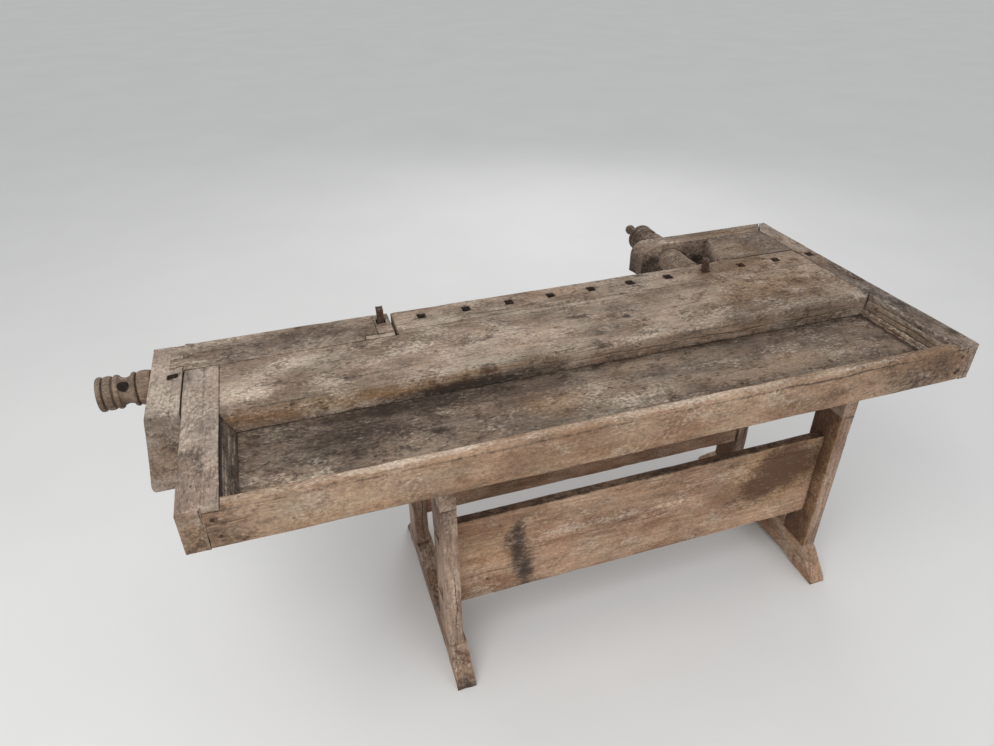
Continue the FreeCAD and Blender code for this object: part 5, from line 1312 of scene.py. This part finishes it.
class BENCH_OT_trestles(bpy.types.Operator):
    """Build the two sled-footed trestles"""
    bl_idname = "bench.trestles"
    bl_label = "Trestles"

    def execute(self, context):
        trestle("left", (167, 173, 179, 181))
        trestle("right", (191, 193, 197, 199))
        return {"FINISHED"}


class BENCH_OT_stretchers(bpy.types.Operator):
    """Build the two wide stretchers"""
    bl_idname = "bench.stretchers"
    bl_label = "Stretchers"

    def execute(self, context):
        rear = limits("rear_stretcher")[0][Y]
        front = limits("front_stretcher")[1][Y]
        stretcher_board("rear", 211, [Crack(X, Z, 470.0, Y, rear, 1250, 1716, 1.8, 0.7),
                                      Crack(X, Z, 300.0, Y, rear, 584, 820, 1.6, 0.5),
                                      Crack(X, Z, 356.0, Y, rear, 900, 1300, 1.4, 0.3)])
        stretcher_board("front", 223, [Crack(X, Z, 420.0, Y, front, 600, 1000, 1.8, 0.6),
                                       Crack(X, Z, 280.0, Y, front, 1300, 1716, 1.6, 0.5)])
        return {"FINISHED"}


# ---------------------------------------------------------------- small pieces that keep their CAD shape
SMALL_PIECES = ("rail_nails", "top_pegs", "runner_wedge", "tail_garter_key", "front_garter_key",
                "stretcher_wedges", "tail_dog_spring", "bench_dog_spring")


class BENCH_OT_small_pieces(bpy.types.Operator):
    """Finish the nails, pegs, wedges, keys and springs"""
    bl_idname = "bench.small_pieces"
    bl_label = "Nails, pegs, wedges and keys"

    def execute(self, context):
        for node in SMALL_PIECES:
            for place in frame["nodes"][node].material_slots:
                place.material = wood_material(SLOT_OF[node], own_grain=False)
        return {"FINISHED"}


# ---------------------------------------------------------------- materials
class Graph:
    """Short ways to build the nodes of one material, or of the world."""

    def __init__(self, owner):
        owner.use_nodes = True
        self.tree = owner.node_tree
        self.tree.nodes.clear()

    def node(self, kind, inputs=(), **settings):
        made = self.tree.nodes.new("ShaderNode" + kind)
        for key, value in settings.items():
            setattr(made, key, value)
        for socket, value in dict(inputs).items():
            self.join(value, made.inputs[socket])
        return made

    def join(self, value, socket):
        if isinstance(value, bpy.types.NodeSocket):
            self.tree.links.new(value, socket)
        else:
            socket.default_value = value

    def maths(self, operation, a, b=0.5):
        return self.node("Math", {0: a, 1: b}, operation=operation).outputs[0]

    def plus(self, a, b):
        return self.maths("ADD", a, b)

    def minus(self, a, b):
        return self.maths("SUBTRACT", a, b)

    def times(self, a, b):
        return self.maths("MULTIPLY", a, b)

    def vector(self, operation, a, b=(0.0, 0.0, 0.0)):
        made = self.node("VectorMath", {0: a, 1: b}, operation=operation)
        return made.outputs["Value" if operation == "LENGTH" else "Vector"]

    def ramp(self, value, low, high, bottom, top, **settings):
        """The value spread from one span to another, and held at its ends."""
        return self.node("MapRange", {0: value, 1: low, 2: high, 3: bottom, 4: top}, **settings).outputs[0]

    def smooth(self, value, low, high, top=1.0):
        """0 below low, top above high, with a smooth step between."""
        return self.ramp(value, low, high, 0.0, top, interpolation_type="SMOOTHSTEP")

    def scale(self, value, low, high):
        """A 0 to 1 value spread from low to high."""
        return self.ramp(value, 0.0, 1.0, low, high)

    def near(self, value, middle, reach):
        """1 where the value is at the middle, with a smooth step to 0 at the reach from it."""
        away = self.maths("ABSOLUTE", self.minus(value, middle))
        return self.minus(1.0, self.smooth(away, 0.0, reach))

    def clouds(self, place, scales, detail, rough):
        stretched = self.vector("MULTIPLY", place, scales)
        return self.node("TexNoise", {"Vector": stretched, "Scale": 1.0, "Detail": detail,
                                      "Roughness": rough})

    def noise(self, place, along, across, detail, rough, shift=None):
        """Cloudy noise with this many spots a metre along the grain and across it, spread to fill
        0 to 1; the shift keeps it apart from others."""
        if shift is not None:
            place = self.vector("ADD", place, shift)
        found = self.clouds(place, (along, across, across), detail, rough)
        return self.ramp(found.outputs["Fac"], 0.30, 0.70, 0.0, 1.0)

    def bend(self, place, scales, reach):
        """The place moved by up to about half the reach on each axis, by noise."""
        colour_of = self.clouds(place, scales, 3.0, 0.5).outputs["Color"]
        moved = self.vector("SUBTRACT", colour_of, (0.5, 0.5, 0.5))
        return self.vector("ADD", place, self.vector("MULTIPLY", moved, reach))

    def grey(self, value):
        return self.node("CombineXYZ", {0: value, 1: value, 2: value}).outputs[0]

    def mix(self, share, a, b, blend="MIX"):
        made = self.node("Mix", {}, data_type="RGBA", blend_type=blend)
        self.join(share, made.inputs[0])
        for value, socket in ((a, made.inputs[6]), (b, made.inputs[7])):
            self.join(value if isinstance(value, bpy.types.NodeSocket) else (*value, 1.0), socket)
        return made.outputs[2]

    def tinted(self, a, b):
        return self.mix(1.0, a, b, "MULTIPLY")


# name of the wood, rings per metre, and strengths of rings, streaks, blotches, bare patches, cracks,
# specks and bumps, and the roughness
WOODS = {
    "slab_wood": ("slab", 120.0, 0.16, 0.10, 0.85, 0.55, 0.45, 0.8, 1.0, 0.80),
    "cap_wood": ("cap", 150.0, 0.10, 0.07, 0.68, 0.42, 0.35, 0.7, 1.0, 0.84),
    "rail_wood": ("rail", 90.0, 0.14, 0.08, 0.42, 0.28, 0.30, 0.5, 0.8, 0.78),
    "tray_wood": ("tray", 110.0, 0.12, 0.10, 0.90, 0.45, 0.40, 0.9, 1.0, 0.86),
    "top_wood": ("beam", 140.0, 0.18, 0.12, 0.70, 0.45, 0.50, 0.5, 1.0, 0.80),
    "vise_wood": ("vise", 140.0, 0.28, 0.22, 0.50, 0.30, 0.45, 0.4, 0.8, 0.78),
    "screw_wood": ("screw", 170.0, 0.20, 0.20, 0.50, 0.40, 0.40, 0.2, 0.8, 0.66),
    "dog_wood": ("dog", 180.0, 0.25, 0.28, 0.40, 0.20, 0.40, 0.2, 0.8, 0.70),
    "base_wood": ("base", 85.0, 0.30, 0.15, 0.28, 0.40, 0.35, 0.5, 0.8, 0.76),
    "post_wood": ("post", 95.0, 0.30, 0.20, 0.36, 0.36, 0.45, 0.4, 0.8, 0.78),
    "wedge_wood": ("wedge", 120.0, 0.30, 0.26, 0.35, 0.20, 0.40, 0.2, 0.7, 0.78),
    "old_iron": ("iron", 60.0, 0.10, 0.10, 0.60, 0.10, 0.10, 0.3, 0.9, 0.68),
}


def wood_material(slot, own_grain=True):
    """Weathered wood, with its grain along X of its own coordinates.

    Growth rings are sine waves of the distance from a pith line beside the board, bent by stretched
    noise. Over them lie long streaks, blotches of grime, bare patches, fine cracks along the grain
    and specks; then come the piece's own layers of marks, whose darkening layer holds painted shade
    as well as stains, and of wear on its edges.
    """
    name = ("aged_" if own_grain else "aged_small_") + slot
    if name in bpy.data.materials:
        return bpy.data.materials[name]
    kind, rings, ring, streak, blotch, bare, crack, speck, bump, rough = WOODS[slot]
    colours = bpy.context.scene.bench_colours
    light, dark = getattr(colours, kind + "_light"), getattr(colours, kind + "_dark")
    material = bpy.data.materials.new(name)
    g = Graph(material)
    if own_grain:
        place = g.node("Attribute", attribute_name="grain").outputs["Vector"]
        marks = g.node("SeparateXYZ", {0: g.node("Attribute", attribute_name="marks").outputs["Vector"]})
        stain_and_shade_mark, bare_and_lit_mark, warm_mark = marks.outputs
        worn = g.node("Attribute", attribute_name="worn").outputs["Fac"]
    else:
        place = g.node("TexCoord").outputs["Object"]
        stain_and_shade_mark = bare_and_lit_mark = warm_mark = worn = 0.0

    bent = g.bend(place, (1.6, 9.0, 9.0), (0.0, 0.12, 0.12))
    distance = g.vector("LENGTH", g.vector("MULTIPLY", bent, (0.0, 1.0, 1.0)))
    late = g.smooth(g.maths("SINE", g.times(distance, rings * 2 * math.pi)), 0.0, 1.0)

    broad = g.noise(place, 4.0, 9.0, 5.0, 0.6)
    band = g.noise(place, 5.0, 60.0, 4.0, 0.55)
    fibre = g.noise(place, 12.0, 260.0, 6.0, 0.62)
    grime = g.noise(place, 19.0, 27.0, 9.0, 0.70)
    patch = g.noise(place, 8.5, 14.0, 7.0, 0.62, (3.1, 1.7, 0.9))
    fine = g.noise(place, 190.0, 420.0, 4.0, 0.6)
    fleck = g.noise(place, 92.0, 140.0, 5.0, 0.7, (0.7, 0.4, 0.2))
    drift = g.noise(place, 7.0, 13.0, 5.0, 0.6, (1.3, 0.6, 0.2))
    saw = g.noise(g.bend(place, (9.0, 9.0, 9.0), (0.03, 0.0, 0.0)), 300.0, 7.0, 3.0, 0.6)
    saw = g.mix(g.smooth(g.noise(place, 5.0, 10.0, 2.0, 0.5), 0.45, 0.8), (0.5, 0.5, 0.5), saw)
    split = g.near(g.noise(place, 4.0, 48.0, 4.0, 0.45, (0.0, 0.2, 0.5)), 0.5, 0.045)
    split = g.times(split, g.smooth(g.noise(place, 3.0, 10.0, 2.0, 0.5), 0.45, 0.75))
    cloud = g.minus(grime, 0.5)
    crumb = g.minus(fleck, 0.5)

    base = g.mix(g.smooth(broad, 0.15, 0.85), dark, light)
    base = g.mix(g.times(late, ring), base, dark)
    shade = 1.0
    for pattern, swing in ((band, streak), (fibre, streak), (fine, 0.22), (fleck, 0.28), (saw, 0.10)):
        shade = g.times(shade, g.scale(pattern, 1.0 - swing, 1.0 + swing))
    # The darkening layer also lowers the tone: stains and painted shade alike.
    shade = g.times(shade, g.minus(1.0, g.times(stain_and_shade_mark, 0.26)))
    tint = g.grey(shade)
    base = g.tinted(base, tint)
    base = g.tinted(base, g.mix(drift, (1.07, 0.97, 0.92), (0.94, 1.01, 1.01)))

    old_finish = g.smooth(g.plus(warm_mark, g.times(cloud, 0.5)), 0.15, 1.0, 0.72)
    base = g.mix(old_finish, base, g.tinted(colours.warm, tint))
    bleached = g.smooth(g.plus(patch, g.times(crumb, 0.6)), 0.57, 1.02, bare)
    base = g.mix(bleached, base, colours.bare)
    # The pale layer brings splintered bare wood and also two painted lights.
    splinter_and_lit = g.plus(g.plus(bare_and_lit_mark, g.times(g.minus(patch, 0.5), 0.5)), g.times(crumb, 0.5))
    base = g.mix(g.smooth(splinter_and_lit, 0.20, 1.05, 0.85), base, g.tinted(colours.bare, tint))
    dirty = g.plus(grime, g.times(crumb, -0.4))
    base = g.mix(g.smooth(dirty, 0.48, 0.98, blotch), base, g.mix(0.55, dark, colours.stain))
    # The darkening layer mixes in old stains and painted shade, in the tray's corners, in joints and holes
    # and on faces under the top; over the old finish it takes the brown colour, which also paints the shade
    # on the right posts.
    stained_and_shaded = g.plus(g.plus(stain_and_shade_mark, g.times(cloud, 0.55)), g.times(crumb, -0.35))
    spot = g.mix(g.smooth(warm_mark, 0.2, 1.0, 0.85), colours.stain, colours.damp_stain_and_shade)
    base = g.mix(g.smooth(stained_and_shaded, 0.22, 1.10, 0.92), base, spot)
    rubbed = g.times(g.smooth(worn, 0.10, 0.7, 0.95 * bare), g.smooth(grime, 0.85, 0.25))
    base = g.mix(rubbed, base, colours.bare)
    base = g.mix(g.times(split, crack), base, colours.stain)

    skew = g.node("VectorRotate", {"Vector": place, "Rotation": (0.5, 0.7, 0.9)}, rotation_type="EULER_XYZ")
    cut = g.near(g.noise(skew.outputs[0], 7.0, 130.0, 2.0, 0.4), 0.5, 0.05)
    cut = g.times(cut, g.smooth(patch, 0.5, 0.9))
    base = g.mix(g.times(cut, 0.45), base, colours.stain)
    pit = g.noise(place, 44.0, 190.0, 4.0, 0.6, (0.9, 0.1, 0.4))
    pitted = g.times(g.smooth(pit, 0.70, 1.0, 0.75), speck)
    base = g.mix(g.times(pitted, g.smooth(broad, 0.9, 0.2)), base, colours.stain)
    base = g.mix(g.times(g.smooth(pit, 0.30, 0.0, 0.45), bare), base, colours.bare)

    cells = g.node("TexVoronoi", {"Vector": g.vector("MULTIPLY", place, (42.0, 62.0, 62.0)), "Scale": 1.0},
                   feature="F1")
    chosen = g.smooth(g.node("SeparateColor", {0: cells.outputs["Color"]}).outputs[0], 0.86, 0.90)
    dot = g.times(g.minus(1.0, g.smooth(cells.outputs["Distance"], 0.06, 0.22)), chosen)
    dot = g.times(dot, speck)
    base = g.mix(dot, base, colours.stain)

    height = 0.0
    for pattern, rise in ((fibre, 0.4), (band, 0.3), (fleck, 0.4), (saw, 0.15), (late, 0.12), (grime, 0.35),
                          (split, -0.7), (cut, -0.3), (dot, -0.5), (pitted, -0.5)):
        height = g.plus(height, g.times(pattern, rise))
    relief = g.node("Bump", {"Height": height, "Strength": 0.6 * bump, "Distance": 0.0022})
    shader = g.node("BsdfPrincipled", {
        "Base Color": base, "Normal": relief.outputs[0], "Specular IOR Level": 0.32,
        "Roughness": g.scale(grime, rough - 0.16, min(1.0, rough + 0.14)),
        "Metallic": 0.35 if kind == "iron" else 0.0})
    g.node("OutputMaterial", {"Surface": shader.outputs[0]})
    return material


# ---------------------------------------------------------------- stage
def floor_and_backdrop(stage):
    """A plain floor that fades into the world; the camera sees the world darker or lighter than
    it lights the bench."""
    reach = 60.0
    mesh = bpy.data.meshes.new("studio_floor")
    mesh.from_pydata([(x * reach, y * reach, 0) for x, y in ((-1, -1), (1, -1), (1, 1), (-1, 1))],
                     [], [(0, 1, 2, 3)])
    floor = linked("studio_floor", mesh)
    material = bpy.data.materials.new("studio_floor")
    g = Graph(material)
    mottle = g.scale(g.noise(g.node("TexCoord").outputs["Object"], 1.4, 1.4, 4.0, 0.55), 0.98, 1.02)
    shader = g.node("BsdfPrincipled", {"Base Color": g.tinted(stage.floor, g.grey(mottle)),
                                       "Roughness": 0.9, "Specular IOR Level": 0.2})
    g.node("OutputMaterial", {"Surface": shader.outputs[0]})
    mesh.materials.append(material)
    world = bpy.data.worlds.new("studio")
    bpy.context.scene.world = world
    g = Graph(world)
    light, seen = (g.node("Background", {"Color": (0.98, 0.99, 1.0, 1.0), "Strength": strength}).outputs[0]
                   for strength in (stage.sky, stage.backdrop))
    pick = g.node("MixShader", {0: g.node("LightPath").outputs["Is Camera Ray"], 1: light, 2: seen})
    g.node("OutputWorld", {"Surface": pick.outputs[0]})


def lamp(name, place, target, size, power, tint):
    data = bpy.data.lights.new(name, "AREA")
    data.shape, data.size, data.energy, data.color = "DISK", size, power, tint
    made = linked(name, data)
    made.location = place
    made.rotation_euler = (Vector(target) - Vector(place)).to_track_quat("-Z", "Y").to_euler()


def camera(stage):
    """Looks along the yaw and down by the pitch, and is turned by the roll about that line."""
    yaw, pitch, roll = stage.turn
    ahead = Vector((math.sin(yaw) * math.cos(pitch), math.cos(yaw) * math.cos(pitch), -math.sin(pitch)))
    level = Vector((math.cos(yaw), -math.sin(yaw), 0.0))
    rise = level.cross(ahead)
    right = level * math.cos(roll) + rise * math.sin(roll)
    up = rise * math.cos(roll) - level * math.sin(roll)
    data = bpy.data.cameras.new("bench_camera")
    data.lens, data.sensor_width = stage.lens, 36.0
    data.clip_start, data.clip_end = 0.05, 200.0
    made = linked("bench_camera", data)
    made.matrix_world = (Matrix.Translation(stage.camera)
                         @ Matrix((right, up, -ahead)).transposed().to_4x4())
    bpy.context.scene.camera = made


class BENCH_OT_stage(bpy.types.Operator):
    """Set up the floor, the light and the camera"""
    bl_idname = "bench.stage"
    bl_label = "Stage"

    def execute(self, context):
        stage = context.scene.bench_stage
        floor_and_backdrop(stage)
        lamp("key_lamp", (-1.8, -1.6, 3.4), (0.0, 0.0, 0.6), 2.8, stage.key, (1.0, 0.985, 0.96))
        lamp("fill_lamp", (1.2, -3.6, 1.6), (0.1, 0.0, 0.5), 2.4, stage.fill, (0.97, 0.985, 1.0))
        lamp("back_lamp", (1.6, 3.2, 2.6), (0.0, 0.0, 0.6), 2.4, stage.fill, (1.0, 1.0, 1.0))
        camera(stage)
        context.scene.view_settings.view_transform = "Standard"
        return {"FINISHED"}


# ---------------------------------------------------------------- panel and registration
class BENCH_PT_panel(bpy.types.Panel):
    """Buttons for every group of pieces, and the values they use"""
    bl_idname = "BENCH_PT_panel"
    bl_label = "Joiner's bench"
    bl_space_type = "VIEW_3D"
    bl_region_type = "UI"
    bl_category = "Bench"

    def draw(self, context):
        for step in STEPS:
            self.layout.operator(step.bl_idname)
        for group in (context.scene.bench_wear, context.scene.bench_colours, context.scene.bench_stage):
            box = self.layout.box()
            for name in group.__annotations__:
                box.prop(group, name)


STEPS = (BENCH_OT_top, BENCH_OT_tray, BENCH_OT_tail_vise, BENCH_OT_shoulder_vise, BENCH_OT_screws,
         BENCH_OT_dogs, BENCH_OT_trestles, BENCH_OT_stretchers, BENCH_OT_small_pieces, BENCH_OT_stage)
GROUPS = (("bench_colours", BENCH_PG_colours), ("bench_wear", BENCH_PG_wear),
          ("bench_stage", BENCH_PG_stage))


def register():
    for _, group in GROUPS:
        bpy.utils.register_class(group)
    for name, group in GROUPS:
        setattr(bpy.types.Scene, name, PointerProperty(type=group))
    for step in STEPS:
        bpy.utils.register_class(step)
    bpy.utils.register_class(BENCH_PT_panel)


def unregister():
    bpy.utils.unregister_class(BENCH_PT_panel)
    for step in reversed(STEPS):
        bpy.utils.unregister_class(step)
    for name, group in reversed(GROUPS):
        delattr(bpy.types.Scene, name)
        bpy.utils.unregister_class(group)


def main():
    register()
    for step in STEPS:
        group, name = step.bl_idname.split(".")
        getattr(getattr(bpy.ops, group), name)()
    bpy.context.view_layer.update()


if __name__ == "__main__":
    main()
